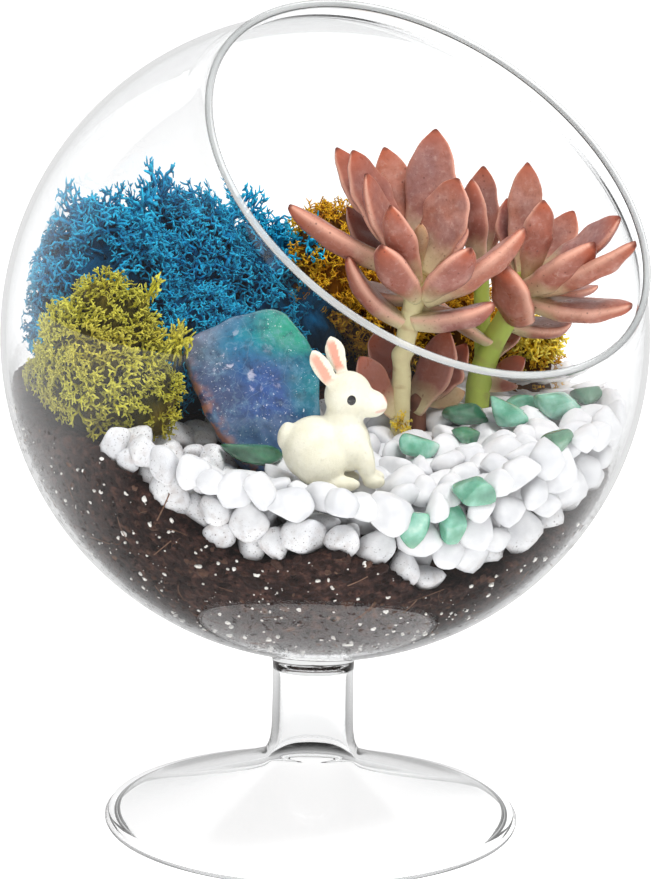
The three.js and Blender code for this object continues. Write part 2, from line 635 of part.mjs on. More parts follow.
const BACK_STEM = {
  points: [[37.6, 13, ROOT_DEPTH], [37.5, 13, 106], [37, 12.6, 120], [36.2, 12, 133]],
  radii: [2, 2, 1.9, 1.8],
};
const BACK_LEAVES = [
  [[36.2, 12, 131], [33.6, 11, 152.9], 7.4, 5, [0.5, 0.7, 0.3], 1],
  [[35.8, 13, 131.5], [36.4, 15, 155.6], 8.4, 5, [0, -1, 0.2], 1],
  [[36.6, 13, 131.5], [39.2, 17, 147.8], 6, 4, [-0.3, -1, 0.2], 0.6],
  [[35.6, 13, 129], [26, 17, 139], 7, 4.6, [0.6, -0.3, 0.7], 1.2],
];
const LOW_STEM = {
  points: [[21.6, -9.2, ROOT_DEPTH], [21.6, -9.2, 96.8], [21.4, -9, 104.4]],
  radii: [1.9, 2, 2],
};
const LOW_LEAVES = [
  [[20, -8.6, 101.9], [11.4, -6.4, 119.6], 8.6, 4, [0.6, -0.8, 0.1], 1],
  [[20.8, -10, 101.2], [28.2, -11.4, 120.4], 9.8, 5, [-0.6, -0.8, 0.1], 1.2],
  [[22, -9, 103.8], [32.6, -6.4, 105.8], 6.4, 3.4, [-0.1, -0.9, 0.3], 0.6],
  [[21.6, -8.6, 101.9], [32.8, -2, 116], 8, 4, [-0.5, -0.7, 0.3], 1],
];

function plant({ points, radii }, leaves, grow = 0) {
  return join([stem(points, radii, grow), ...leaves.map((one) => leaf(one, grow))]);
}

// ---- the whole ----
const terrarium = new THREE.Group();
const room = cavity();
const soilBody = below(soilTop).intersect(room);
const aboveSoil = below((x, y) => soilTop(x, y) + SEAT_GAP);
const belowMoss = below((x, y) => groundTop(x, y) + MOSS_GAP);

const plants = [
  ['succulent_left', LEFT_STEM, LEFT_LEAVES],
  ['succulent_right', RIGHT_STEM, RIGHT_LEAVES],
  ['succulent_back', BACK_STEM, BACK_LEAVES],
  ['succulent_low', LOW_STEM, LOW_LEAVES],
];
const sockets = join([
  ...plants.map(([, stalk, leaves]) => plant(stalk, leaves, SEAT_GAP)),
  slab(SEAT_GAP),
  rabbit(SEAT_GAP),
]);
const chipSockets = join(CHIPS.map((one) => chip(one, SEAT_GAP)));

addPiece(terrarium, 'glass_bowl', globe().add(foot()), 'glass');
addPiece(terrarium, 'soil', soilBody.subtract(sockets).subtract(chipSockets), 'soil');
const bed = pebbleBed(room, aboveSoil).subtract(sockets).subtract(chipSockets);
addPiece(terrarium, 'white_pebbles', bed, 'pebble');
CHIPS.forEach((one, i) => {
  const name = `green_chip_${String(i + 1).padStart(2, '0')}`;
  addPiece(terrarium, name, chip(one).intersect(room).subtract(sockets), 'greenStone');
});
addPiece(terrarium, 'fluorite_slab', slab(), 'fluorite');
addPiece(terrarium, 'rabbit_figurine', rabbit(), 'resin');
for (const [name, recipe, outline, look] of [
  ['blue_moss', BLUE_MOSS, BLUE_ROOM, 'blueMoss'],
  ['green_moss', GREEN_MOSS, GREEN_ROOM, 'greenMoss'],
  ['yellow_moss', YELLOW_MOSS, YELLOW_ROOM, 'yellowMoss'],
]) {
  const mound = moss(recipe).intersect(over(outline)).intersect(room);
  addPiece(terrarium, name, mound.subtract(belowMoss).subtract(sockets), look);
}
for (const [name, stalk, leaves] of plants) {
  addPiece(terrarium, name, plant(stalk, leaves), 'leaf');
}

export default terrarium;
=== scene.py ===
"""A planted glass bowl on a foot, dressed for a studio picture.

Shapes are in millimetres until a mesh is made.
"""

import math

import bmesh
import bpy
import numpy as np
from mathutils import Matrix, Vector


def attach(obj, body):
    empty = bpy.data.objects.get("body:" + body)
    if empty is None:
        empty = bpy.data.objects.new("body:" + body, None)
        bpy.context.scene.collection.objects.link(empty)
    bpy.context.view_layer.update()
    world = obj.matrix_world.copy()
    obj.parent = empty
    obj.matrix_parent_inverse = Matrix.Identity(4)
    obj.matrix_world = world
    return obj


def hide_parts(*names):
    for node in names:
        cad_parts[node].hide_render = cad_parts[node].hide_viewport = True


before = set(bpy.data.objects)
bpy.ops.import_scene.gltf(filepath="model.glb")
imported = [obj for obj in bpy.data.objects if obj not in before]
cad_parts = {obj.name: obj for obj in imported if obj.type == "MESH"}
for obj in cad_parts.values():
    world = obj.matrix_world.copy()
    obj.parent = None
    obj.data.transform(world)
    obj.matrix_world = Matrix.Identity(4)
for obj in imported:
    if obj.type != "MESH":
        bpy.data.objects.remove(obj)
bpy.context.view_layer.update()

MM = 0.001
MIRRORED_FRONT = 0.14  # how bright reflections see what lies in front of the bowl
MIRRORED_BACK = 0.86  # and what lies behind it
MIRRORED_FOOT = 0.48  # how bright reflections see the floor under the foot, where a dimmer disc is painted as a painted reflection
MIRRORED_RING = 0.0485  # radius of the foot's edge, where a dark ring is painted on the floor: a painted reflection that shows as a ring low in the globe
MIRRORED_RING_AT = (-0.0014, 0.0, 0.0)
LIP_CLEAR = 0.5  # how much of what lies behind the lip shows through it
MIRRORED_DEPTH = 3.5  # light that has crossed more faces than this sees the white room

# ---- the bowl, as in the part's source ----
GLOBE_RADIUS = 75.0
GLASS_WALL = 2.0
GLOBE_CENTRE = np.array([0.0, 0.0, 116.5])
MOUTH_AZIMUTH = -51.3
MOUTH_TILT = 46.9
LIP_RADIUS = 54.6
LIP_HEIGHT = 54.4
LIP_BEAD = 0.82
LIP_BEAD_OUT = 0.4
SKIN_WALL = 1.4  # the wall's thickness as shown
FILL_RADIUS = 74.0  # how far out the soil's crumbs reach, just into the glass
LIP_LAP = 0.35  # from the bead's middle down to the wall's end
NECK_HEIGHT = 47.0
STEM_X = -1.4
STEM_RADIUS = 9.63
STEM_TOP_RADIUS = 10.6
STEM_WALL = 1.8
STEM_TOP = 43.3
STEM_CAP = 40.3  # top of the stem's hollow
FOOT_RADIUS = 49.2
FOOT_RISE = 14.0
INSIDE = GLOBE_RADIUS - GLASS_WALL
ROOT_DEPTH = 84.0

# ---- the ground, as in the part's source but for the last heap ----
BED_FRONT_HEIGHT = 93.0
BED_FRONT_Y = -55.0
BED_SLOPE = 0.125
BED_RIGHT_RISE = 3.0
# x, y, height and spread. The last heap lies before the rabbit's feet, and only this scene has it.
BED_HEAPS = [(20, -10, 2, 15), (-35, -32, 3, 9), (0, -62.5, 3, 6)]
BED_DEPTH = 8.0
BED_EDGE = [(-53, -62), (-43, -46), (-40, -28), (-30, -14), (0, 4), (22, 20), (40, 34), (58, 58)]
GLASS_LINE = [  # azimuth, top of the filling and top of the soil where they meet the glass
    (-180, 108, 108), (-150, 103, 103), (-131, 99, 99), (-126, 102.5, 95), (-119, 101, 88),
    (-111, 98, 81), (-104, 97, 77), (-96, 95, 79), (-88, 94, 81), (-77, 92, 77), (-67, 92, 70),
    (-58, 94, 70), (-50, 99, 73), (-41, 102, 76), (-33, 103, 81), (-16, 104, 86), (10, 104, 90),
    (38, 105, 97), (48, 106, 106), (180, 108, 108),
]


# ---- numbers and meshes ----
def unit(vectors):
    vectors = np.asarray(vectors, float)
    return vectors / np.maximum(np.linalg.norm(vectors, axis=-1, keepdims=True), 1e-12)


def smoothstep(x, low, high):
    t = np.clip((x - low) / (high - low), 0, 1)
    return t * t * (3 - 2 * t)


def mix(a, b, t):
    return a + (b - a) * t


WAVE_COUNT = 10


def waves(points, size, seed):
    """Smooth noise of about -1 to 1 whose features are about size long."""
    rng = np.random.default_rng(seed)
    heading = unit(rng.normal(size=(WAVE_COUNT, 3))) * rng.uniform(0.6, 1.4, (WAVE_COUNT, 1))
    phase = rng.uniform(0, 2 * math.pi, WAVE_COUNT)
    return np.sin(points @ heading.T * (2 * math.pi / size) + phase).sum(1) / math.sqrt(WAVE_COUNT) / 1.2


def curve_through(points, steps):
    """A smooth line through the given points, steps to each stretch."""
    p = np.asarray(points, float)
    p = np.vstack([2 * p[0] - p[1], p, 2 * p[-1] - p[-2]])
    t = np.linspace(0, 1, steps, endpoint=False)[:, None]
    line = []
    for a, b, c, d in zip(p, p[1:], p[2:], p[3:]):
        line.append(b + 0.5 * t * (c - a + t * (2 * a - 5 * b + 4 * c - d + t * (3 * (b - c) + d - a))))
    return np.vstack([*line, p[-2:-1]])


def ball(level):
    """A unit sphere of nearly even triangles."""
    shape = bmesh.new()
    bmesh.ops.create_icosphere(shape, subdivisions=level, radius=1)
    verts = np.array([v.co for v in shape.verts])
    faces = np.array([[v.index for v in f.verts] for f in shape.faces])
    shape.free()
    return verts, faces


def ring_faces(rings, sides):
    """Triangles between rings of points that follow each other, and to the two end points after them."""
    i = np.arange(sides)
    j = (i + 1) % sides
    faces = []
    for k in range(rings - 1):
        a, b = k * sides, (k + 1) * sides
        faces.append(np.stack([a + i, a + j, b + j], 1))
        faces.append(np.stack([a + i, b + j, b + i], 1))
    start, end = rings * sides, rings * sides + 1
    last = (rings - 1) * sides
    faces.append(np.stack([j, i, np.full(sides, start)], 1))
    faces.append(np.stack([last + i, last + j, np.full(sides, end)], 1))
    return np.vstack(faces)


def gather(parts):
    """Joins parts, each a dict with verts, faces and other values for each vertex."""
    out = {key: np.concatenate([p[key] for p in parts]) for key in parts[0] if key != "faces"}
    starts = np.cumsum([0] + [len(p["verts"]) for p in parts[:-1]])
    out["faces"] = np.concatenate([p["faces"] + s for p, s in zip(parts, starts)])
    return out


def set_values(mesh, key, values):
    layer = mesh.attributes.new(key, "FLOAT", "POINT")
    layer.data.foreach_set("value", np.asarray(values, np.float32))


def mesh_of(name, part):
    mesh = bpy.data.meshes.new(name)
    faces = np.asarray(part["faces"], np.int32)
    mesh.vertices.add(len(part["verts"]))
    mesh.vertices.foreach_set("co", (part["verts"] * MM).astype(np.float32).ravel())
    mesh.loops.add(faces.size)
    mesh.loops.foreach_set("vertex_index", faces.ravel())
    mesh.polygons.add(len(faces))
    mesh.polygons.foreach_set("loop_start", np.arange(0, faces.size, faces.shape[1], dtype=np.int32))
    mesh.update(calc_edges=True)
    mesh.validate()
    for key, values in part.items():
        if key not in ("verts", "faces"):
            set_values(mesh, key, values)
    mesh.shade_smooth()
    return mesh


def new_object(name, data):
    thing = bpy.data.objects.new(name, data)
    bpy.context.scene.collection.objects.link(thing)
    return thing


def add_piece(name, part, slot, material, *nodes, sharp=None):
    """A shown piece that rides on the root, and the CAD nodes that it stands for, which it hides. Its slot
    argument is not used.
    """
    mesh = mesh_of(name, part) if isinstance(part, dict) else part
    if sharp is not None:
        mesh.set_sharp_from_angle(angle=math.radians(sharp))
    piece = new_object(name, mesh)
    mesh.materials.clear()
    mesh.materials.append(material)
    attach(piece, "root")
    if nodes:
        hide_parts(*nodes)


def shaped_mesh(name, mesh, set_modifiers):
    """The mesh that modifiers make of a mesh."""
    holder = new_object(name, mesh)
    set_modifiers(holder)
    graph = bpy.context.evaluated_depsgraph_get()
    result = bpy.data.meshes.new_from_object(holder.evaluated_get(graph))
    bpy.data.objects.remove(holder)
    return result


# ---- materials ----
def add_node(tree, kind, inputs=None, **settings):
    node = tree.nodes.new("ShaderNode" + kind)
    for key, value in settings.items():
        setattr(node, key, value)
    for key, value in (inputs or {}).items():
        if isinstance(value, bpy.types.NodeSocket):
            tree.links.new(value, node.inputs[key])
        else:
            node.inputs[key].default_value = value
    return node


def colour(r, g, b):
    """A colour from its 0 to 255 screen values."""
    screen = np.array([r, g, b]) / 255
    linear = np.where(screen <= 0.04045, screen / 12.92, ((screen + 0.055) / 1.055) ** 2.4)
    return (*linear.tolist(), 1.0)


def new_material(name):
    material = bpy.data.materials.new(name)
    material.use_nodes = True
    material.node_tree.nodes.clear()
    return material, material.node_tree


def place(tree):
    return add_node(tree, "TexCoord").outputs["Object"]


def noise(tree, size, detail=3.0, vector=None, roughness=0.5):
    """Noise whose features are about size mm."""
    inputs = {"Scale": 1 / (size * MM), "Detail": detail, "Roughness": roughness}
    inputs["Vector"] = vector or place(tree)
    return add_node(tree, "TexNoise", inputs).outputs["Fac"]


def cells(tree, size, vector=None):
    inputs = {"Scale": 1 / (size * MM), "Vector": vector or place(tree)}
    return add_node(tree, "TexVoronoi", inputs).outputs["Distance"]


def ramp(tree, value, stops):
    node = add_node(tree, "ValToRGB", {"Fac": value})
    points = node.color_ramp.elements
    while len(points) < len(stops):
        points.new(0.5)
    for point, (position, shade) in zip(points, stops):
        point.position = position
        point.color = shade
    return node.outputs["Color"]


def blend(tree, amount, a, b, mode="MIX"):
    node = add_node(tree, "Mix", data_type="RGBA", blend_type=mode)
    for socket, value in ((node.inputs[0], amount), (node.inputs[6], a), (node.inputs[7], b)):
        if isinstance(value, bpy.types.NodeSocket):
            tree.links.new(value, socket)
        else:
            socket.default_value = value
    return node.outputs[2]


def maths(tree, operation, a, b=0.0):
    return add_node(tree, "Math", {0: a, 1: b}, operation=operation).outputs[0]


def spread(tree, value, low, high, to_low=0.0, to_high=1.0):
    inputs = {"Value": value, "From Min": low, "From Max": high, "To Min": to_low, "To Max": to_high}
    return add_node(tree, "MapRange", inputs).outputs["Result"]


def attribute(tree, name):
    return add_node(tree, "Attribute", attribute_name=name).outputs["Fac"]


def bump(tree, height, strength, distance):
    inputs = {"Height": height, "Strength": strength, "Distance": distance * MM}
    return add_node(tree, "Bump", inputs).outputs[0]


def distance_to(tree, where, centre):
    return add_node(tree, "VectorMath", {0: where, 1: centre}, operation="DISTANCE").outputs["Value"]


def mix_shaders(tree, amount, a, b):
    """The first shader where the amount is 0, the second where it is 1."""
    return add_node(tree, "MixShader", {0: amount, 1: a.outputs[0], 2: b.outputs[0]})


def show_shader(tree, shader):
    """Links a shader to the material's output in place of what was there."""
    output = next(node for node in tree.nodes if node.type == "OUTPUT_MATERIAL")
    tree.links.new(shader.outputs[0], output.inputs["Surface"])


def finish_material(tree, base, **inputs):
    shader = add_node(tree, "BsdfPrincipled", {"Base Color": base})
    for key, value in inputs.items():
        name = key.replace("_", " ").title().replace("Ior", "IOR")
        if isinstance(value, bpy.types.NodeSocket):
            tree.links.new(value, shader.inputs[name])
        else:
            shader.inputs[name].default_value = value
    add_node(tree, "OutputMaterial", {"Surface": shader.outputs[0]})
    return shader


def glass_material():
    """Clear glass that lets lamps and soft light straight through to what it holds."""
    material, tree = new_material("clear_glass")
    path = add_node(tree, "LightPath")
    # Seen edge-on, the glass turns a darker grey: painted shade along its outline.
    turned = add_node(tree, "LayerWeight", {"Blend": 0.5}).outputs["Facing"]
    tint_and_edge_shade = blend(tree, spread(tree, turned, 0.55, 1.0), (0.93, 0.933, 0.935, 1), (0.66, 0.67, 0.68, 1))
    glass = add_node(tree, "BsdfPrincipled", {
        "Base Color": tint_and_edge_shade, "Roughness": 0.0, "IOR": 1.47, "Transmission Weight": 1.0,
    })
    clear = add_node(tree, "BsdfTransparent")
    lit = mix_shaders(tree, path.outputs["Is Shadow Ray"], glass, clear)
    soft = mix_shaders(tree, path.outputs["Is Diffuse Ray"], lit, clear)
    add_node(tree, "OutputMaterial", {"Surface": soft.outputs[0]})
    return material


def lip_material():
    """The mouth's edge: a pale band, a painted reflection, with painted shade along its outlines, that half
    hides what lies behind it.
    """
    material, tree = new_material("lip_glass")
    cloud = noise(tree, 25, 2)
    # The pale grey is a painted reflection of the room on the round edge.
    base = ramp(tree, cloud, [(0.3, (0.7, 0.72, 0.72, 1)), (0.7, (0.9, 0.92, 0.92, 1))])
    # Seen edge-on, the band turns nearly black: painted shade along its outlines.
    turned = add_node(tree, "LayerWeight", {"Blend": 0.5}).outputs["Facing"]
    base = blend(tree, spread(tree, turned, 0.35, 0.75), base, (0.12, 0.13, 0.13, 1))
    glass = finish_material(tree, base, roughness=0.12, ior=1.5, transmission_weight=0.3)
    show_shader(tree, mix_shaders(tree, LIP_CLEAR, glass, add_node(tree, "BsdfTransparent")))
    return material


def soil_material():
    material, tree = new_material("potting_soil")
    grain = noise(tree, 2.2, 6, roughness=0.65)
    patches = noise(tree, 16, 2)
    base = ramp(tree, grain, [
        (0.3, colour(22, 13, 12)), (0.5, colour(50, 33, 29)),
        (0.62, colour(80, 54, 46)), (0.78, colour(124, 92, 78)),
    ])
    warm = blend(tree, spread(tree, patches, 0.4, 0.7, 0, 0.5), base, colour(84, 58, 44), "SOFT_LIGHT")
    relief = maths(tree, "ADD", grain, cells(tree, 1.4))
    finish_material(tree, warm, roughness=0.95, specular_ior_level=0.2, normal=bump(tree, relief, 0.9, 0.8))
    return material


def crumb_material():
    material, tree = new_material("soil_crumb")
    tone = attribute(tree, "tone")
    grain = noise(tree, 0.8, 4)
    base = ramp(tree, tone, [
        (0.0, colour(28, 18, 16)), (0.5, colour(58, 40, 35)),
        (0.85, colour(98, 72, 60)), (1.0, colour(150, 118, 98)),
    ])
    shaded = blend(tree, spread(tree, grain, 0.3, 0.7, 0, 0.6), base, colour(26, 18, 15))
    finish_material(tree, shaded, roughness=0.95, specular_ior_level=0.2, normal=bump(tree, grain, 0.8, 0.3))
    return material


def perlite_material():
    material, tree = new_material("perlite")
    grain = noise(tree, 0.5, 4)
    base = ramp(tree, grain, [(0.3, colour(196, 190, 182)), (0.6, colour(240, 238, 233))])
    finish_material(tree, base, roughness=0.9, normal=bump(tree, grain, 0.7, 0.2))
    return material


def pebble_material():
    material, tree = new_material("white_stone")
    cloud = noise(tree, 4, 4)
    tone = attribute(tree, "tone")
    base = ramp(tree, cloud, [(0.3, colour(212, 213, 216)), (0.65, colour(232, 232, 233))])
    base = blend(tree, spread(tree, tone, 0.7, 1.0, 0, 0.5), base, colour(206, 208, 212))
    dust = attribute(tree, "dust")
    for size, reach in ((1.1, 0.16), (0.6, 0.18)):
        specks = spread(tree, cells(tree, size), reach, reach * 0.6)
        base = blend(tree, maths(tree, "MULTIPLY", dust, specks), base, colour(58, 44, 40))
    smear = maths(tree, "MULTIPLY", dust, spread(tree, noise(tree, 2.2, 5), 0.48, 0.7, 0, 0.5))
    base = blend(tree, smear, base, colour(176, 164, 158))
    worn = noise(tree, 2.4, 4)
    finish_material(
        tree, base, roughness=0.55, specular_ior_level=0.35, normal=bump(tree, worn, 0.35, 0.25),
    )
    return material


def chip_material():
    material, tree = new_material("green_stone")
    cloud = noise(tree, 5, 5)
    tone = attribute(tree, "tone")
    jade = ramp(tree, cloud, [
        (0.28, colour(62, 128, 102)), (0.45, colour(98, 166, 138)),
        (0.6, colour(138, 196, 174)), (0.78, colour(202, 228, 216)),
    ])
    grey = ramp(tree, cloud, [
        (0.3, colour(42, 92, 66)), (0.6, colour(82, 138, 106)), (0.8, colour(160, 194, 174)),
    ])
    base = blend(tree, spread(tree, tone, 0.45, 0.6), jade, grey)
    finish_material(
        tree, base, roughness=0.08, coat_weight=1.0, coat_roughness=0.03, ior=1.6,
        subsurface_weight=0.25, subsurface_scale=0.003, normal=bump(tree, noise(tree, 1.2, 3), 0.15, 0.15),
    )
    return material


SLAB_TONES = [  # place in mm, reach in mm, colour
    ((-28, -25.5, 121), 13, (120, 122, 142)), ((-17, -26, 118.5), 12, (0, 116, 150)),
    ((-8.5, -24.5, 123), 12, (52, 152, 128)), ((-13, -29, 108.5), 13, (50, 84, 146)),
    ((-1.5, -29, 110), 9, (44, 128, 138)), ((-24, -29, 107), 9, (60, 74, 112)),
]


def near_place(tree, where, centre, reach):
    """1 at a place, falling to 0 at its reach."""
    away = distance_to(tree, where, tuple(value * MM for value in centre))
    return spread(tree, away, reach * MM, reach * MM * 0.2)


def warped(tree, size, amount):
    """Places that noise pushes about, so that what is drawn there looks clouded."""
    cloud = add_node(tree, "TexNoise", {"Scale": 1 / (size * MM), "Detail": 4.0, "Vector": place(tree)})
    middle = {0: cloud.outputs["Color"], 1: (0.5, 0.5, 0.5)}
    centred = add_node(tree, "VectorMath", middle, operation="SUBTRACT")
    inputs = {0: centred.outputs[0], "Scale": amount * MM}
    push = add_node(tree, "VectorMath", inputs, operation="SCALE").outputs[0]
    return add_node(tree, "VectorMath", {0: place(tree), 1: push}, operation="ADD").outputs[0]


def slab_material():
    """Clouded green, blue and violet crystal with white flaws, and brown skin at its lower left edge."""
    material, tree = new_material("banded_crystal")
    where = warped(tree, 9, 9)
    base = colour(40, 78, 118)
    for centre, reach, tone in SLAB_TONES:
        base = blend(tree, near_place(tree, where, centre, reach), base, colour(*tone))
    fine = noise(tree, 2.6, 6, roughness=0.7)
    base = blend(tree, spread(tree, fine, 0.5, 0.32, 0, 0.7), base, colour(22, 40, 72))
    base = blend(tree, spread(tree, fine, 0.55, 0.72, 0, 0.5), base, colour(118, 162, 186))
    foot = add_node(tree, "SeparateXYZ", {0: place(tree)}).outputs["Z"]
    base = blend(tree, spread(tree, foot, 0.1035, 0.1025, 0, 0.45), base, colour(104, 132, 172))
    veil = noise(tree, 5, 6, vector=warped(tree, 8, 14), roughness=0.75)
    base = blend(tree, spread(tree, veil, 0.52, 0.6, 0, 0.2), base, colour(140, 176, 196))
    cloud = noise(tree, 3.6, 5, vector=warped(tree, 4, 3), roughness=0.6)
    left = near_place(tree, where, (-21, -28, 112), 15)
    flaws = maths(tree, "MULTIPLY", spread(tree, cloud, 0.6, 0.66), left)
    base = blend(tree, maths(tree, "MULTIPLY", flaws, 0.75), base, colour(206, 204, 222))
    inputs = {"Scale": 1 / (8 * MM), "Vector": warped(tree, 5, 4)}
    cracks = add_node(tree, "TexVoronoi", inputs, feature="DISTANCE_TO_EDGE")
    thin = spread(tree, cracks.outputs["Distance"], 0.012, 0.004, 0, 0.12)
    base = blend(tree, thin, base, colour(176, 204, 214))
    for size, reach in ((1.8, 0.14), (1.2, 0.13), (0.7, 0.14)):
        specks = spread(tree, cells(tree, size, vector=warped(tree, 1.6, 2.4)), reach, reach * 0.5)
        specks = maths(tree, "MULTIPLY", specks, spread(tree, noise(tree, 7, 2), 0.45, 0.6))
        base = blend(tree, specks, base, colour(232, 238, 244))
    skin = maths(tree, "MULTIPLY", attribute(tree, "skin"), spread(tree, noise(tree, 2.4, 5), 0.44, 0.6))
    base = blend(tree, skin, base, colour(186, 126, 96))
    rough = spread(tree, noise(tree, 4, 4), 0.3, 0.7, 0.1, 0.28)
    finish_material(
        tree, base, roughness=rough, coat_weight=0.3, coat_roughness=0.06,
        normal=bump(tree, noise(tree, 2.4, 5), 0.35, 0.3),
    )
    return material


def resin_material():
    material, tree = new_material("ivory_resin")
    cloud = noise(tree, 5, 3)
    base = ramp(tree, cloud, [(0.3, colour(230, 226, 204)), (0.7, colour(244, 241, 224))])
    base = blend(tree, attribute(tree, "shade"), base, colour(216, 208, 172))
    base = blend(tree, attribute(tree, "ear"), base, colour(236, 150, 128))
    base = blend(tree, attribute(tree, "nose"), base, colour(232, 158, 138))
    fur = noise(tree, 0.7, 5, roughness=0.7)
    base = blend(tree, spread(tree, fur, 0.56, 0.72, 0, 0.4), base, colour(176, 170, 142))
    finish_material(
        tree, base, roughness=0.42, specular_ior_level=0.45, normal=bump(tree, fur, 0.6, 0.3),
        subsurface_weight=0.15, subsurface_scale=0.0015, subsurface_radius=(1.0, 0.9, 0.7),
    )
    return material


def eye_material():
    material, tree = new_material("black_eye")
    base = ramp(tree, noise(tree, 0.6, 2), [(0.3, colour(6, 6, 8)), (0.7, colour(24, 20, 20))])
    finish_material(tree, base, roughness=0.08, coat_weight=1.0)
    return material


MOSS_TONES = {  # deep, middle, light and patch colour, and how strong the patches are; the deep colour is painted shade inside the mounds
    "blue_moss": ((0, 38, 60), (0, 146, 200), (50, 200, 238), (0, 120, 178), 0.5),
    "green_moss": ((62, 58, 6), (186, 180, 30), (224, 220, 88), (178, 150, 62), 0.4),
    "yellow_moss": ((84, 48, 4), (220, 152, 12), (246, 200, 44), (196, 120, 10), 0.5),
    "bright_moss": ((150, 108, 6), (250, 214, 40), (255, 240, 110), (240, 190, 34), 0.3),
}


def moss_material(name):
    material, tree = new_material(name)
    *tones, patch_amount = MOSS_TONES[name]
    deep, middle, light, patch = (colour(*tone) for tone in tones)
    # out runs from 0 at the lumps' insides and the sprigs' roots to 1 at their tips; the ramp paints the
    # inside deep, as painted shade, and the tips light.
    out = attribute(tree, "out")
    base = ramp(tree, out, [(0.0, deep), (0.45, middle), (1.0, light)])
    change = spread(tree, noise(tree, 13, 3), 0.45, 0.68, 0, patch_amount)
    base = blend(tree, change, base, patch)
    base = blend(tree, spread(tree, noise(tree, 1.6, 2), 0.35, 0.7, 0, 0.35), base, deep)
    finish_material(
        tree, base, roughness=0.75, specular_ior_level=0.25, sheen_weight=0.05, sheen_roughness=0.5,
        normal=bump(tree, noise(tree, 0.5, 2), 0.5, 0.15),
    )
    return material


def leaf_material(name):
    """Rose flesh with a grey-violet painted sheen, painted shade on the underside and on low and inner
    leaves, a green-cream root, an orange flush at edges and tip, and a pale edge line that is partly a
    painted highlight.
    """
    material, tree = new_material(name)
    along = attribute(tree, "along")
    under = attribute(tree, "under")
    blotch = noise(tree, 7, 3)
    fine = noise(tree, 1.3, 5, roughness=0.65)
    # Grey-violet blotches on the upper side are a painted sheen.
    upper = blend(tree, spread(tree, blotch, 0.4, 0.62), colour(172, 116, 100), colour(150, 110, 104))
    # The underside is painted browner and darker than the upper side: painted shade under the leaf.
    flesh = blend(tree, under, upper, colour(162, 98, 82))
    hue = attribute(tree, "hue")
    flesh = blend(tree, spread(tree, hue, 0.5, 1.0, 0, 0.5), flesh, colour(184, 116, 90))
    flesh = blend(tree, spread(tree, hue, 0.5, 0.0, 0, 0.5), flesh, colour(136, 94, 96))
    flesh = blend(tree, spread(tree, noise(tree, 4, 2), 0.48, 0.7, 0, 0.3), flesh, colour(206, 166, 156))
    flesh = blend(tree, spread(tree, fine, 0.54, 0.72, 0, 0.34), flesh, colour(216, 190, 180))
    flesh = blend(tree, spread(tree, fine, 0.48, 0.3, 0, 0.45), flesh, colour(124, 74, 62))
    ragged = maths(tree, "ADD", along, maths(tree, "MULTIPLY", noise(tree, 5, 3), 0.3))
    # dark paints a whole leaf browner: painted shade on low, inner and hidden leaves, and partly their own
    # browner colour.
    flesh = blend(tree, attribute(tree, "dark"), flesh, colour(132, 68, 50))
    flush = maths(tree, "MULTIPLY", attribute(tree, "flush"), spread(tree, ragged, 0.4, 1.1, 0, 0.8))
    flesh = blend(tree, flush, flesh, colour(166, 82, 54))
    root = spread(tree, ragged, 0.56, 0.18)
    flesh = blend(tree, root, flesh, colour(214, 202, 160))
    flesh = blend(tree, attribute(tree, "tone"), flesh, colour(206, 196, 140))
    # A thin pale line along the margins: partly their paler colour, partly a painted highlight on the rounded
    # edge.
    line = maths(tree, "MULTIPLY", attribute(tree, "edge"), 0.75)
    flesh = blend(tree, line, flesh, colour(230, 176, 154))
    tip = spread(tree, maths(tree, "ADD", along, maths(tree, "MULTIPLY", fine, 0.05)), 0.985, 1.02)
    flesh = blend(tree, tip, flesh, colour(96, 44, 34))
    grit = spread(tree, noise(tree, 0.6, 4, roughness=0.7), 0.58, 0.7, 0, 0.45)
    flesh = blend(tree, grit, flesh, colour(112, 66, 56))
    spots = spread(tree, cells(tree, 2.6), 0.12, 0.06, 0, 0.6)
    flesh = blend(tree, spots, flesh, colour(98, 52, 46))
    finish_material(
        tree, flesh, roughness=spread(tree, noise(tree, 3, 3), 0.3, 0.7, 0.26, 0.46), specular_ior_level=0.5,
        normal=bump(tree, fine, 0.45, 0.22),
    )
    return material


def mix_colour(a, b, t):
    return tuple(mix(x, y, t) for x, y in zip(a, b))


def stem_material(name, fresh, old):
    material, tree = new_material(name)
    scar = attribute(tree, "scar")
    base = ramp(tree, noise(tree, 3, 4), [(0.3, mix_colour(fresh, old, 0.25)), (0.65, fresh)])
    base = blend(tree, scar, base, old)
    finish_material(
        tree, base, roughness=0.5, specular_ior_level=0.35, normal=bump(tree, noise(tree, 0.9, 4), 0.3, 0.2),
    )
    return material


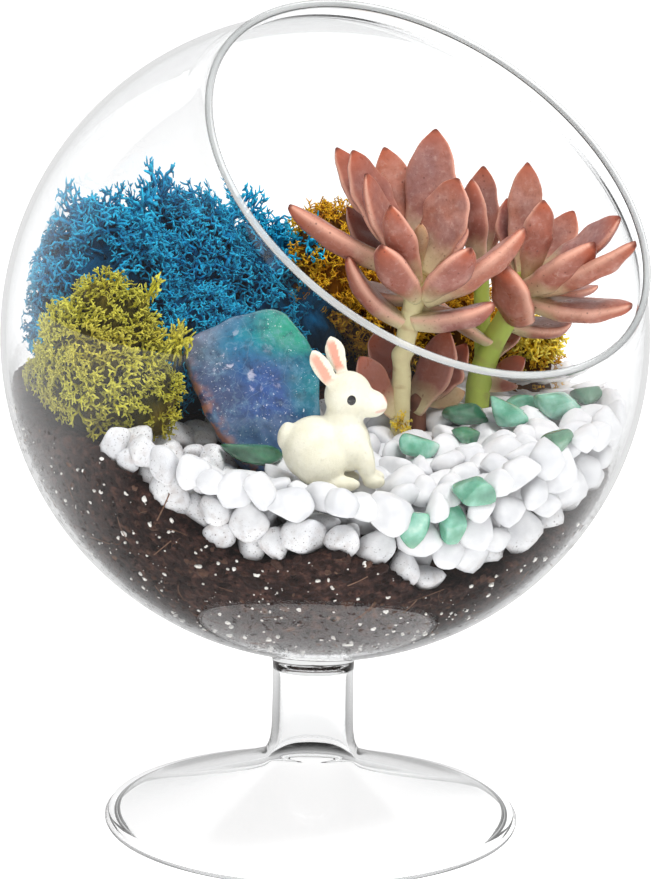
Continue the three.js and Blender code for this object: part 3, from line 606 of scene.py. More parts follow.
def floor_material():
    """A white floor that reflections see dim, so that the bowl's lower side stays clear."""
    material, tree = new_material("pale_floor")
    base = ramp(tree, noise(tree, 60, 2), [(0.3, (0.9, 0.9, 0.9, 1)), (0.7, (0.92, 0.92, 0.92, 1))])
    matt = finish_material(
        tree, base, roughness=0.8, specular_ior_level=0.1,
        emission_color=(1, 1, 1, 1), emission_strength=0.75,
    )
    at = add_node(tree, "SeparateXYZ", {0: place(tree)})
    aside = maths(tree, "ADD", maths(tree, "ABSOLUTE", at.outputs["X"]), at.outputs["Y"])
    bright = maths(tree, "MAXIMUM", spread(tree, at.outputs["Y"], 0.0, 0.12), spread(tree, aside, 0.08, 0.3))
    strength = spread(tree, bright, 0, 1, MIRRORED_FRONT, MIRRORED_BACK)
    # Under the foot, a dimmer disc with a dark ring at its edge is painted on the floor, seen only in
    # reflections: a painted reflection of the foot's edge.
    away = distance_to(tree, place(tree), MIRRORED_RING_AT)
    painted_disc = spread(tree, away, MIRRORED_RING, MIRRORED_RING - 2 * MM, 0, MIRRORED_FOOT)
    strength = maths(tree, "MAXIMUM", strength, painted_disc)
    off_ring = maths(tree, "ABSOLUTE", maths(tree, "SUBTRACT", away, MIRRORED_RING))
    painted_ring = spread(tree, off_ring, 1.6 * MM, 0.8 * MM)
    strength = maths(tree, "MULTIPLY", strength, maths(tree, "SUBTRACT", 1.0, painted_ring))
    dim = add_node(tree, "Emission", {"Color": (1, 1, 1, 1), "Strength": strength})
    show_shader(tree, mix_shaders(tree, reflected(tree), matt, dim))
    return material


# ---- ground levels ----
def glass_line(azimuth, column):
    table = np.array(GLASS_LINE)
    return np.interp(azimuth, table[:, 0], table[:, column])


def inside_bed(x, y):
    """Distance inside the pebbles' edge, negative on the moss side."""
    nearest = np.full(x.shape, np.inf)
    side = np.full(x.shape, -1.0)
    for (ax, ay), (bx, by) in zip(BED_EDGE, BED_EDGE[1:]):
        dx, dy = bx - ax, by - ay
        t = np.clip(((x - ax) * dx + (y - ay) * dy) / (dx * dx + dy * dy), 0, 1)
        away = np.hypot(x - ax - t * dx, y - ay - t * dy)
        closer = away < nearest
        nearest = np.where(closer, away, nearest)
        side = np.where(closer, np.sign((x - ax) * dy - (y - ay) * dx), side)
    return nearest * side


def bed_level(x, y):
    level = BED_FRONT_HEIGHT + (y - BED_FRONT_Y) * BED_SLOPE + BED_RIGHT_RISE * smoothstep(x, 10, 55)
    for hx, hy, height, wide in BED_HEAPS:
        level = level + height * np.exp(-((x - hx) ** 2 + (y - hy) ** 2) / wide**2 / 2)
    return level


def ground_top(x, y):
    rim = glass_line(np.degrees(np.arctan2(y, x)), 1)
    return mix(bed_level(x, y), rim, smoothstep(np.hypot(x, y), 46, 70))


def soil_top(x, y):
    rim = glass_line(np.degrees(np.arctan2(y, x)), 2)
    glass = np.sqrt(INSIDE**2 - (rim - GLOBE_CENTRE[2]) ** 2)
    under_bed = mix(bed_level(x, y) - BED_DEPTH, rim, smoothstep(np.hypot(x, y), glass - 20, glass - 3))
    return mix(ground_top(x, y), under_bed, smoothstep(inside_bed(x, y), -3, 5))


def pressed_to_glass(verts, gap, soft):
    """Points near the glass are pushed in, more the further out they are, and never reach it."""
    out = verts - GLOBE_CENTRE
    far = np.linalg.norm(out, axis=1)
    inner = INSIDE - gap - soft
    near = inner + soft * (1 - np.exp(-np.maximum(far - inner, 0) / soft))
    return np.where((far > inner)[:, None], GLOBE_CENTRE + out * (near / far)[:, None], verts)


# ---- glass ----
def mouth_axis():
    tilt, azimuth = math.radians(MOUTH_TILT), math.radians(MOUTH_AZIMUTH)
    return np.array([
        math.cos(tilt) * math.cos(azimuth), math.cos(tilt) * math.sin(azimuth), math.sin(tilt),
    ])


def lathe(profile, sides):
    """A closed profile of radius and height turned about +Z. A point on the axis is one vertex."""
    profile = np.asarray(profile, float)
    angle = np.linspace(0, 2 * math.pi, sides, endpoint=False)
    verts, rings = [], []
    for radius, height in profile:
        if radius < 1e-6:
            rings.append([len(verts)] * sides)
            verts.append([0, 0, height])
        else:
            rings.append(list(range(len(verts), len(verts) + sides)))
            ring = [radius * np.cos(angle), radius * np.sin(angle), np.full(sides, height)]
            verts.extend(np.stack(ring, 1))
    faces = []
    closes = profile[0][0] > 1e-6
    pairs = zip(rings, rings[1:] + rings[:1]) if closes else zip(rings, rings[1:])
    for low, high in pairs:
        for i in range(sides):
            j = (i + 1) % sides
            if low[0] == low[1]:
                faces.append([low[i], high[j], high[i]])
            elif high[0] == high[1]:
                faces.append([low[i], low[j], high[i]])
            else:
                faces.append([low[i], low[j], high[j]])
                faces.append([low[i], high[j], high[i]])
    return {"verts": np.array(verts, float), "faces": np.array(faces)}


def wall_line(radius, lip_radius, steps):
    """One side of the globe's wall from the pole opposite the mouth to the lip."""
    neck_angle = math.asin(NECK_HEIGHT / radius)
    angle = np.linspace(-math.pi / 2, neck_angle, steps)
    arc = radius * np.stack([np.cos(angle), np.sin(angle)], 1)
    arc[0][0] = 0
    end = LIP_HEIGHT - LIP_LAP
    bend = (mix(arc[-1][0], lip_radius, 0.72), mix(NECK_HEIGHT, end, 0.5))
    turn = curve_through([arc[-2], arc[-1], bend, (lip_radius, end)], 18)[18:]
    return np.vstack([arc[:-1], turn])


def set_in(line, depth):
    """The same line moved to its left by the given depth."""
    along = unit(np.gradient(line, axis=0))
    return line + np.stack([-along[:, 1], along[:, 0]], 1) * depth


def turned_to_mouth(part):
    turn = Vector((0, 0, 1)).rotation_difference(Vector(mouth_axis())).to_matrix()
    part["verts"] = part["verts"] @ np.array(turn).T + GLOBE_CENTRE
    return part


def globe_part(sides, steps):
    middle = LIP_RADIUS + LIP_BEAD_OUT - LIP_BEAD
    outer = wall_line(GLOBE_RADIUS, middle + SKIN_WALL / 2, steps)
    inner = set_in(outer, SKIN_WALL)
    inner[0] = (0, SKIN_WALL - GLOBE_RADIUS)
    return turned_to_mouth(lathe(np.vstack([outer, inner[::-1]]), sides))


def lip_piece(sides):
    """The mouth's round edge, which covers the end of the wall."""
    angle = np.linspace(0, 2 * math.pi, 24, endpoint=False)
    middle = LIP_RADIUS + LIP_BEAD_OUT - LIP_BEAD
    bead = np.stack([middle + LIP_BEAD * np.cos(angle), LIP_HEIGHT + LIP_BEAD * np.sin(angle)], 1)
    add_piece("glass_lip", turned_to_mouth(lathe(bead, sides)), "clear_glass", lip_material())


def foot_part(sides):
    inside = STEM_RADIUS - STEM_WALL
    flare = curve_through([
        (FOOT_RADIUS - 1, 2.9), (mix(STEM_RADIUS, FOOT_RADIUS, 0.8), 4.9),
        (mix(STEM_RADIUS, FOOT_RADIUS, 0.45), 9.8), (STEM_RADIUS + 4.4, FOOT_RISE + 1),
        (STEM_RADIUS + 1.3, FOOT_RISE + 3.6), (STEM_RADIUS + 0.2, 21.5),
        (STEM_RADIUS, 28), (STEM_RADIUS, 37),
    ], 14)
    neck = curve_through([
        (STEM_RADIUS, 37), (STEM_RADIUS + 0.25, 39.6),
        (STEM_TOP_RADIUS, 41.6), (STEM_TOP_RADIUS + 0.6, STEM_TOP),
    ], 6)
    rim = curve_through([
        (FOOT_RADIUS - 2.8, 0), (FOOT_RADIUS - 0.8, 0), (FOOT_RADIUS, 1.4), (FOOT_RADIUS - 1, 2.9),
    ], 8)
    under = set_in(flare, STEM_WALL)
    under = under[(under[:, 0] < FOOT_RADIUS - 3.4) & (under[:, 1] > 0.6)]
    cap = curve_through([(inside, 37.2), (inside - 1, 38.9), (inside * 0.6, 39.9), (0, STEM_CAP)], 6)
    line = np.vstack([cap[::-1], under[::-1], rim, flare[1:], neck[1:], [(0, STEM_TOP)]])
    line[[0, -1], 0] = 0
    line[:, 1] = np.maximum(line[:, 1], 0)
    part = lathe(line, sides)
    part["verts"][:, 0] += STEM_X
    return part


def glass_piece():
    sides = 192
    globe = mesh_of("globe", globe_part(sides, sides // 2))
    foot = mesh_of("foot", foot_part(sides))
    other = new_object("foot", foot)

    def unite(holder):
        join = holder.modifiers.new("join", "BOOLEAN")
        join.operation = "UNION"
        join.solver = "EXACT"
        join.object = other

    mesh = shaped_mesh("glass", globe, unite)
    bpy.data.objects.remove(other)
    mesh.shade_smooth()
    add_piece("glass", mesh, "clear_glass", glass_material(), "glass_bowl", sharp=50)
    lip_piece(sides * 2)


# ---- soil ----
CRUMB_COUNT = 5200
PERLITE_COUNT = 1500
FIBRE_COUNT = 150
SOIL_EYE = np.array([0.0, 0.0, 66.0])  # a point inside, from which all of the soil's skin is seen


def soil_skin(directions):
    """Where rays from a point inside leave the soil."""
    low = np.zeros(len(directions))
    high = np.full(len(directions), 150.0)
    for _ in range(26):
        middle = (low + high) / 2
        p = SOIL_EYE + directions * middle[:, None]
        outside = np.linalg.norm(p - GLOBE_CENTRE, axis=1) > FILL_RADIUS - 0.5
        outside |= p[:, 2] > soil_top(p[:, 0], p[:, 1])
        high = np.where(outside, middle, high)
        low = np.where(outside, low, middle)
    return SOIL_EYE + directions * low[:, None]


def soil_piece():
    rows, sides = ((180, 320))
    rise = np.linspace(-math.pi / 2, math.pi / 2, rows + 2)[1:-1]
    turn = np.linspace(0, 2 * math.pi, sides, endpoint=False)
    rise, turn = np.meshgrid(rise, turn, indexing="ij")
    grid = np.stack([np.cos(rise) * np.cos(turn), np.cos(rise) * np.sin(turn), np.sin(rise)], -1)
    directions = np.vstack([grid.reshape(-1, 3), [[0, 0, -1], [0, 0, 1]]])
    verts = soil_skin(directions)
    crumble = 0.55 + 0.45 * waves(verts, 3.2, 3) + 0.35 * waves(verts, 1.7, 4)
    verts = verts - directions * np.clip(crumble, 0, 1.6)[:, None] * 0.7
    body = {"verts": verts, "faces": ring_faces(rows, sides)}
    add_piece("soil_body", body, "potting_soil", soil_material(), "soil")


def wall_points(rng, count, top_gap=1.0):
    """Random places on the inside of the glass below the top of the soil."""
    azimuth = rng.uniform(-180, 180, count * 3)
    level = GLOBE_CENTRE[2] + FILL_RADIUS * rng.uniform(-1, 0.0, count * 3)
    good = level < glass_line(azimuth, 2) - top_gap
    azimuth, level = np.radians(azimuth[good][:count]), level[good][:count]
    reach = np.sqrt(FILL_RADIUS**2 - (level - GLOBE_CENTRE[2]) ** 2)
    return np.stack([reach * np.cos(azimuth), reach * np.sin(azimuth), level], 1)


def rounded_rock(level, seed, hardness, low=0.78, high=1.0):
    """A unit stone: a polyhedron with soft edges."""
    rng = np.random.default_rng(seed)
    verts, faces = ball(level)
    normals = unit(ball(1)[0] + 0.32 * rng.normal(size=(12, 3)))
    offsets = rng.uniform(low, high, len(normals))
    reach = (np.maximum(verts @ normals.T, 0) / offsets) ** hardness
    verts = verts * (reach.sum(1) ** (-1 / hardness))[:, None]
    middle = (verts.max(0) + verts.min(0)) / 2
    half = (verts.max(0) - verts.min(0)) / 2
    return (verts - middle) / half, faces


def scattered(rocks, centres, frames, halves, tones):
    """Copies of rocks: a centre, a turning matrix, half sizes and a tone for each."""
    parts = []
    for i, centre in enumerate(centres):
        verts, faces = rocks[i % len(rocks)]
        placed = (verts * halves[i]) @ frames[i].T + centre
        parts.append({"verts": placed, "faces": faces, "tone": np.full(len(verts), tones[i])})
    return gather(parts)


def wall_frames(points, rng):
    """Turning matrices whose third axis points at the glass, with a random roll."""
    out = unit(points - GLOBE_CENTRE)
    side = unit(np.cross(out, rng.normal(size=out.shape)))
    return np.stack([side, np.cross(out, side), out], -1)


def crumb_pieces():
    rng = np.random.default_rng(5)
    rocks = [rounded_rock(1, 40 + k, 6) for k in range(8)]
    points = wall_points(rng, CRUMB_COUNT)
    halves = rng.uniform(0.35, 1.0, (len(points), 3)) * rng.gamma(3, 0.3, (len(points), 1)).clip(0.35, 1.8)
    halves[:, 2] = np.minimum(halves[:, 2], 0.8)
    sunk = points - unit(points - GLOBE_CENTRE) * (0.25 + halves[:, 2:])
    tones = rng.beta(1.6, 2.2, len(points))
    crumbs = scattered(rocks, sunk, wall_frames(points, rng), halves, tones)
    add_piece("soil_crumbs", crumbs, "potting_soil", crumb_material())

    grains = wall_points(rng, PERLITE_COUNT)
    halves = rng.uniform(0.5, 1.1, (len(grains), 3)) * rng.gamma(1.8, 0.17, (len(grains), 1)).clip(0.12, 1.3)
    sunk = grains - unit(grains - GLOBE_CENTRE) * (0.15 + halves[:, 2:])
    perlite = scattered(rocks, sunk, wall_frames(grains, rng), halves, np.ones(len(grains)))
    add_piece("perlite", perlite, "white_stone", perlite_material())


def tube(points, radii, sides):
    """A closed tube along points, with pointed ends."""
    points = np.asarray(points, float)
    along = unit(np.gradient(points, axis=0))
    lean = np.array([0.31, 0.52, 0.79])
    side = unit(np.cross(along, lean))
    up = np.cross(side, along)
    angle = np.linspace(0, 2 * math.pi, sides, endpoint=False)
    spokes = np.cos(angle)[None, :, None] * side[:, None] + np.sin(angle)[None, :, None] * up[:, None]
    rings = points[:, None] + spokes * np.asarray(radii)[:, None, None]
    ends = [points[0] - along[0] * radii[0] * 0.5, points[-1] + along[-1] * radii[-1] * 0.8]
    return np.vstack([rings.reshape(-1, 3), ends]), ring_faces(len(points), sides)


def fibre_piece():
    rng = np.random.default_rng(8)
    parts = []
    for start in wall_points(rng, FIBRE_COUNT, 2.0):
        heading = unit(rng.normal(size=3))
        steps = np.linspace(0, rng.uniform(2.5, 8), 7)[:, None]
        bend = unit(rng.normal(size=3)) * rng.uniform(-0.09, 0.09)
        line = start + heading * steps + bend * steps**2
        line = GLOBE_CENTRE + unit(line - GLOBE_CENTRE) * (FILL_RADIUS - 0.4)
        verts, faces = tube(line, np.full(7, rng.uniform(0.08, 0.18)), 4)
        parts.append({"verts": verts, "faces": faces, "tone": np.full(len(verts), rng.uniform(0.8, 1.0))})
    add_piece("soil_fibres", gather(parts), "potting_soil", crumb_material())


# ---- pebbles ----
# Round posts that the pebbles keep clear of: two ends in x and y, radius, height of the lower end.
POSTS = [
    (17.2, -15, 17.2, -15, 2.4, 0), (36, 4, 36, 4, 3.0, 0),
    (37.5, 13, 37.5, 13, 2.2, 0), (21.6, -9.2, 21.6, -9.2, 2.2, 0),
    (-3, -50, 9, -50, 5.6, 92.5), (-28, -28.5, -4, -28.5, 5.2, 86),
]
CHIPS = [
    ((-15.7, -37.6, 96.2), (7.2, 3.2, 2.6), (0, 8, 4), 0.8),
    ((21.1, -30.8, 97.0), (4.6, 3.4, 2.6), (20, 18, 10), 0.2),
    ((44.4, -2.2, 102.2), (6.0, 3.2, 2.8), (10, -8, 8), 0.5),
    ((53.6, -8.4, 103.2), (6.0, 4.2, 4.0), (20, 10, -10), 0.1),
    ((61.2, 1.8, 104.0), (4.2, 3.2, 2.8), (0, 15, 30), 0.7),
    ((42.0, -13.4, 101.6), (4.8, 3.6, 3.2), (25, 12, 0), 0.3),
    ((32.4, -11.4, 101.2), (5.4, 3.0, 2.6), (0, 0, 8), 0.8),
    ((32.0, -58.4, 93.0), (5.2, 4.0, 3.2), (30, 6, -10), 0.2),
    ((28.0, -57.0, 85.6), (3.4, 2.6, 4.2), (0, 25, -25), 0.3),
    ((19.8, -60.4, 85.6), (3.0, 2.4, 4.4), (0, 30, -12), 0.1),
    ((32.4, -24.2, 98.4), (3.2, 2.6, 2.2), (0, 20, 40), 0.9),
    ((51.0, -38.4, 100.6), (4.2, 3.2, 2.6), (0, -10, 20), 0.8),
]  # middle, half sizes, turns about X, Y and Z in degrees, tone from mint to grey-green
STONE_GAP = 0.5  # between a stone and the glass
STONE_SOFT = 0.6  # how deep the zone is in which the glass flattens a stone


def first_places(rng):
    """Loose starting places: two layers over the bed and rows against the glass."""
    places = []
    step = 8.3
    for layer in range(2):
        for row in range(-10, 11):
            for column in range(-10, 11):
                x = (column + (row + layer) % 2 / 2) * step + rng.uniform(-1.5, 1.5)
                y = row * step * 0.87 + rng.uniform(-1.5, 1.5)
                if math.hypot(x, y) < 68 - 2 * layer and inside_bed(np.array(x), np.array(y)) > 1:
                    places.append((x, y, float(ground_top(np.array(x), np.array(y))) - 3.6 - 6 * layer))
    for azimuth in np.arange(-130, 46, 6.9):
        top, bottom = glass_line(azimuth, 1), glass_line(azimuth, 2)
        for level in np.arange(bottom + 2.8, top - 7, 6.6):
            angle = math.radians(azimuth + rng.uniform(-2, 2))
            reach = math.sqrt((INSIDE - 4.5) ** 2 - (level - GLOBE_CENTRE[2]) ** 2)
            places.append((reach * math.cos(angle), reach * math.sin(angle), level + rng.uniform(-2.4, 2.4)))
    return np.array(places)


def hold_in_bed(p, radii):
    """Moves stones back into the bed: clear of the posts, under its top, over the soil, in the glass."""
    for x0, y0, x1, y1, post, low in POSTS:
        span = np.array([x1 - x0, y1 - y0])
        t = np.clip(((p[:, :2] - (x0, y0)) @ span) / max(span @ span, 1e-9), 0, 1)
        away = p[:, :2] - (x0, y0) - t[:, None] * span
        gap = np.linalg.norm(away, axis=1)
        short = np.where(p[:, 2] + radii > low, np.maximum(post + 0.85 * radii - gap, 0), 0)
        p[:, :2] += unit(away) * short[:, None]
    for centre, half, _, _ in CHIPS:
        away = (p - centre) / (np.array(half) + 0.8 * radii[:, None])
        gap = np.linalg.norm(away, axis=1)
        push = np.where(gap < 1, (1 - gap), 0)
        p += unit(p - np.array(centre) - (0, 0, 1)) * (push * 4)[:, None]
    inside = inside_bed(p[:, 0], p[:, 1])
    p[:, :2] += np.where(inside < 1, 1 - inside, 0)[:, None] * np.array([0.6, -0.8])
    p[:, 2] = np.minimum(p[:, 2], ground_top(p[:, 0], p[:, 1]) - 0.8 * radii + 0.3)
    p[:, 2] = np.maximum(p[:, 2], soil_top(p[:, 0], p[:, 1]) + 0.35 * radii)
    out = p - GLOBE_CENTRE
    far = np.linalg.norm(out, axis=1)
    limit = INSIDE - STONE_GAP - 0.92 * radii
    return np.where((far > limit)[:, None], GLOBE_CENTRE + out * (limit / far)[:, None], p)


def settled(rng):
    p = first_places(rng)
    radii = 2.7 + 2.3 * rng.beta(1.6, 1.2, len(p))
    for _ in range(90):
        apart = p[:, None] - p[None]
        gap = np.linalg.norm(apart, axis=2) + 1e3 * np.eye(len(p))
        short = np.maximum(radii[:, None] + radii[None] - gap, 0)
        p = p + 0.3 * (apart * (short / gap)[..., None]).sum(1)
        p[:, 2] -= 0.03
        p = hold_in_bed(p, radii)
    return p, radii


def pebble_piece():
    rng = np.random.default_rng(11)
    p, radii = settled(rng)
    out = unit(p - GLOBE_CENTRE)
    near_glass = np.linalg.norm(p - GLOBE_CENTRE, axis=1) > INSIDE - STONE_GAP - radii - 1.5
    lying = unit(np.array([0, 0, 1]) + rng.normal(size=p.shape) * 0.45)
    short_axis = np.where(near_glass[:, None], unit(out + rng.normal(size=p.shape) * 0.15), lying)
    side = unit(np.cross(short_axis, rng.normal(size=p.shape)))
    frames = np.stack([side, np.cross(short_axis, side), short_axis], -1)
    halves = radii[:, None] * np.stack([
        rng.uniform(1.08, 1.3, len(p)), rng.uniform(0.9, 1.04, len(p)), rng.uniform(0.68, 0.84, len(p)),
    ], 1)
    halves[near_glass, 2] = radii[near_glass] * 0.9
    level = 3
    rocks = [rounded_rock(level, 100 + k, 7, 0.72, 1.08) for k in range(30)]
    bed = scattered(rocks, p, frames, halves, rng.uniform(0, 1, len(p)))
    bed["verts"] = pressed_to_glass(bed["verts"], STONE_GAP, STONE_SOFT)
    azimuth = np.degrees(np.arctan2(bed["verts"][:, 1], bed["verts"][:, 0]))
    above_soil = bed["verts"][:, 2] - glass_line(azimuth, 2)
    dusty_side = mix(6, 15, smoothstep(-azimuth, 78, 112))
    bed["dust"] = 1 - smoothstep(above_soil, dusty_side * 0.3, dusty_side)
    add_piece("pebbles", bed, "white_stone", pebble_material(), "white_pebbles")


def turn_matrix(degrees):
    x, y, z = (math.radians(v) for v in degrees)
    return np.array(Matrix.Rotation(z, 3, "Z") @ Matrix.Rotation(y, 3, "Y") @ Matrix.Rotation(x, 3, "X"))


def chip_pieces():
    material = chip_material()
    for i, (centre, half, turn, tone) in enumerate(CHIPS):
        verts, faces = rounded_rock(4, 300 + i, 7, 0.74, 1.02)
        verts = (verts * np.array(half)) @ turn_matrix(turn).T + np.array(centre)
        out = verts - GLOBE_CENTRE
        far = np.linalg.norm(out, axis=1, keepdims=True)
        verts = np.where(far > INSIDE - STONE_GAP, GLOBE_CENTRE + out * (INSIDE - STONE_GAP) / far, verts)
        part = {"verts": verts, "faces": faces, "tone": np.full(len(verts), tone)}
        node = f"green_chip_{i + 1:02d}"
        add_piece(f"chip_{i + 1:02d}", part, "green_stone", material, node)


# ---- crystal slab ----
SLAB_THICKNESS = 9.0
SLAB_LEAN = 17.0
SLAB_FRONT_Y = -34.5
SLAB_BASE_Z = 90.5
SLAB_OUTLINE = [
    (-19, 2.5), (-26.2, 12.8), (-30, 21), (-32.5, 29.3), (-28.6, 32.6), (-19.2, 36.7),
    (-13.9, 38.2), (-9.6, 38.3), (-3.3, 30.7), (-1, 23.7), (-0.6, 13), (-3, 2), (-11, -0.5),
]
SLAB_MIDDLE = np.array([-15.0, 19.5])
# Planes that cut back the front face: a point, the way it falls away, and its slope.
SLAB_CUTS = [
    ((-15, 13.2), (0.14, -1), 0.34), ((-6, 20), (1, 0.1), 0.22),
    ((-18, 30), (-0.2, 1), 0.16), ((-27, 22), (-1, 0.2), 0.2),
]


def slab_edge(angle):
    """Distance from the slab's middle to its outline, with the corners a little worn."""
    loop = np.array([*SLAB_OUTLINE, SLAB_OUTLINE[0]]) - SLAB_MIDDLE
    t = np.linspace(0, 1, 40, endpoint=False)[:, None]
    fine = np.vstack([mix(a, b, t) for a, b in zip(loop, loop[1:])])
    around = np.arctan2(fine[:, 1], fine[:, 0])
    order = np.argsort(around)
    reach = np.interp(angle, around[order], np.hypot(*fine.T)[order], period=2 * math.pi)
    kernel = np.ones(9) / 9
    return np.convolve(np.r_[reach[-4:], reach, reach[:4]], kernel, "valid")


def slab_piece():
    sides = 240
    angle = np.linspace(-math.pi, math.pi, sides, endpoint=False)
    edge = slab_edge(angle)
    chip = np.stack([np.cos(angle), np.sin(angle), np.zeros(sides)], 1) * 10
    edge = edge + 0.2 * waves(chip, 4, 61) - 0.3
    shares = [*np.linspace(0.05, 0.9, 18), 0.93, 0.955, 0.975, 0.99, 1.0]
    rings, face_side = [], []
    for front in (True, False):
        for share in shares if front else shares[::-1]:
            flat = SLAB_MIDDLE + np.stack([np.cos(angle), np.sin(angle)], 1) * (edge * share)[:, None]
            inset = edge * (1 - share)
            bevel = 1.3 * (1 - np.clip(inset / 1.6, 0, 1)) ** 2
            depth = np.zeros(sides)
            if front:
                for point, fall, slope in SLAB_CUTS:
                    depth = np.maximum(depth, ((flat - point) @ unit(fall)) * slope)
                grain = np.column_stack([flat, np.zeros(sides)])
                depth = depth + bevel + 0.22 * waves(grain, 9, 62) + 0.1 * waves(grain, 3, 63)
            else:
                depth = SLAB_THICKNESS - bevel
            rings.append(np.column_stack([flat, depth]))
            face_side.append(np.clip(1 - inset / 4, 0, 1))
    ends = np.array([[*SLAB_MIDDLE, 0.0], [*SLAB_MIDDLE, SLAB_THICKNESS]])
    flat = np.vstack([*rings, ends])
    lean = math.radians(SLAB_LEAN)
    across, up, deep = flat.T
    verts = np.column_stack([
        across,
        SLAB_FRONT_Y + up * math.sin(lean) + deep * math.cos(lean),
        SLAB_BASE_Z + up * math.cos(lean) - deep * math.sin(lean),
    ])
    near_edge = np.r_[np.concatenate(face_side), 0, 0]
    lower_left = smoothstep(-(across - SLAB_MIDDLE[0]) * 0.8 - (up - SLAB_MIDDLE[1]), 2, 12)
    part = {"verts": verts, "faces": ring_faces(len(rings), sides), "skin": near_edge * lower_left}
    add_piece("crystal_slab", part, "banded_crystal", slab_material(), "fluorite_slab", sharp=35)


# ---- rabbit ----
RABBIT_Y = -50.0
RABBIT_PARTS = [  # middle, half sizes, tilt about Y in degrees
    ((-1.6, 0, 100.2), (7.3, 6.2, 7.3), 0), ((4.6, 0, 101.8), (5.6, 4.8, 6.6), -14),
    ((4.4, 0, 107.4), (4.2, 3.8, 3.8), 0), ((5.2, 0, 112.0), (5.2, 4.6, 5.4), 0),
    ((9.7, 0, 110.4), (4.0, 3.1, 3.1), 8), ((-8.0, 0, 103.0), (1.9, 2.2, 3.1), 12),
]
RABBIT_PAIRS = [
    ((-0.8, 3.4, 98.2), (6.0, 3.2, 5.6), 0), ((3.6, 4.0, 93.4), (4.6, 1.9, 1.8), 0),
    ((9.0, 2.4, 98.4), (2.1, 1.9, 5.4), -12), ((11.0, 2.5, 93.8), (2.5, 1.7, 1.6), 0),
]
RABBIT_EARS = [((2.2, 113.6), (-2.8, 122.2), -2.0), ((4.2, 115.6), (1.0, 124.8), 2.0)]  # root, tip, y
EAR_WIDTH = 4.4
EAR_THICKNESS = 2.2
RABBIT_EYE = ((5.4, 111.8), 1.0)


def ellipsoid(centre, half, tilt, level=4):
    verts, faces = ball(level)
    verts = (verts * np.array(half)) @ turn_matrix((0, tilt, 0)).T + centre
    return {"verts": verts, "faces": faces}


def rabbit_ear(root, tip, y):
    ends = (root[0], y, root[1]), (tip[0], y, tip[1])
    ear = leaf_part((*ends, EAR_WIDTH, EAR_THICKNESS, (0.25, -1, 0), 0.3))
    return {"verts": ear["verts"], "faces": ear["faces"]}


def rabbit_pieces():
    def at(centre):
        return np.array(centre) + (0, RABBIT_Y, 0)

    parts = [ellipsoid(at(c), h, t) for c, h, t in RABBIT_PARTS]
    for side in (-1, 1):
        parts += [ellipsoid(at((c[0], c[1] * side, c[2])), h, t) for c, h, t in RABBIT_PAIRS]
    parts += [rabbit_ear(root, tip, RABBIT_Y + y) for root, tip, y in RABBIT_EARS]

    def soften(holder):
        remesh = holder.modifiers.new("skin", "REMESH")
        remesh.mode = "VOXEL"
        remesh.voxel_size = 0.36 * MM
        smooth = holder.modifiers.new("soften", "SMOOTH")
        smooth.factor = 0.6
        smooth.iterations = 9

    mesh = shaped_mesh("rabbit", mesh_of("rabbit", gather(parts)), soften)
    verts = np.empty(len(mesh.vertices) * 3, np.float32)
    mesh.vertices.foreach_get("co", verts)
    verts = verts.reshape(-1, 3) / MM
    paint_rabbit(mesh, verts)
    mesh.shade_smooth()
    add_piece("rabbit", mesh, "ivory_resin", resin_material(), "rabbit_figurine")
    eye_pieces()


def paint_rabbit(mesh, verts):
    """Colour places: the inner ears, the nose and mouth, and soft shade in the folds."""
    masks = {"ear": np.zeros(len(verts)), "nose": np.zeros(len(verts)), "shade": np.zeros(len(verts))}
    for root, tip, y in RABBIT_EARS:
        start, end = np.array(root), np.array(tip)
        along = end - start
        t = ((verts[:, [0, 2]] - start) @ along) / (along @ along)
        off = np.linalg.norm(verts[:, [0, 2]] - start - np.clip(t, 0, 1)[:, None] * along, axis=1)
        front = verts[:, 1] < RABBIT_Y + y - 0.1
        mask = smoothstep(t, 0.12, 0.3) * (1 - smoothstep(t, 0.78, 0.95)) * (1 - smoothstep(off, 0.9, 1.5))
        masks["ear"] = np.maximum(masks["ear"], mask * front * 0.85)
    nose = np.linalg.norm(verts - (13.4, RABBIT_Y, 111.4), axis=1)
    mouth = np.abs(verts[:, 2] - 109.2 - 0.15 * (verts[:, 0] - 13)) + np.maximum(11.2 - verts[:, 0], 0)
    masks["nose"] = np.maximum(1 - smoothstep(nose, 0.7, 1.3), 0.6 * (1 - smoothstep(mouth, 0.15, 0.4)))
    folds = waves(verts, 6, 71)
    masks["shade"] = 0.35 * smoothstep(96 - verts[:, 2], 0, 5) + 0.12 * np.clip(folds, 0, 1)
    for key, values in masks.items():
        set_values(mesh, key, values)


def eye_pieces():
    (x, z), size = RABBIT_EYE
    for side, name in ((-1, "near"), (1, "far")):
        centre = np.array([x + 0.4, RABBIT_Y + side * 4.25, z])
        part = ellipsoid(centre, (size * 1.05, size * 0.55, size * 1.15), 0, 3)
        add_piece(f"rabbit_eye_{name}", part, "ivory_resin", eye_material())


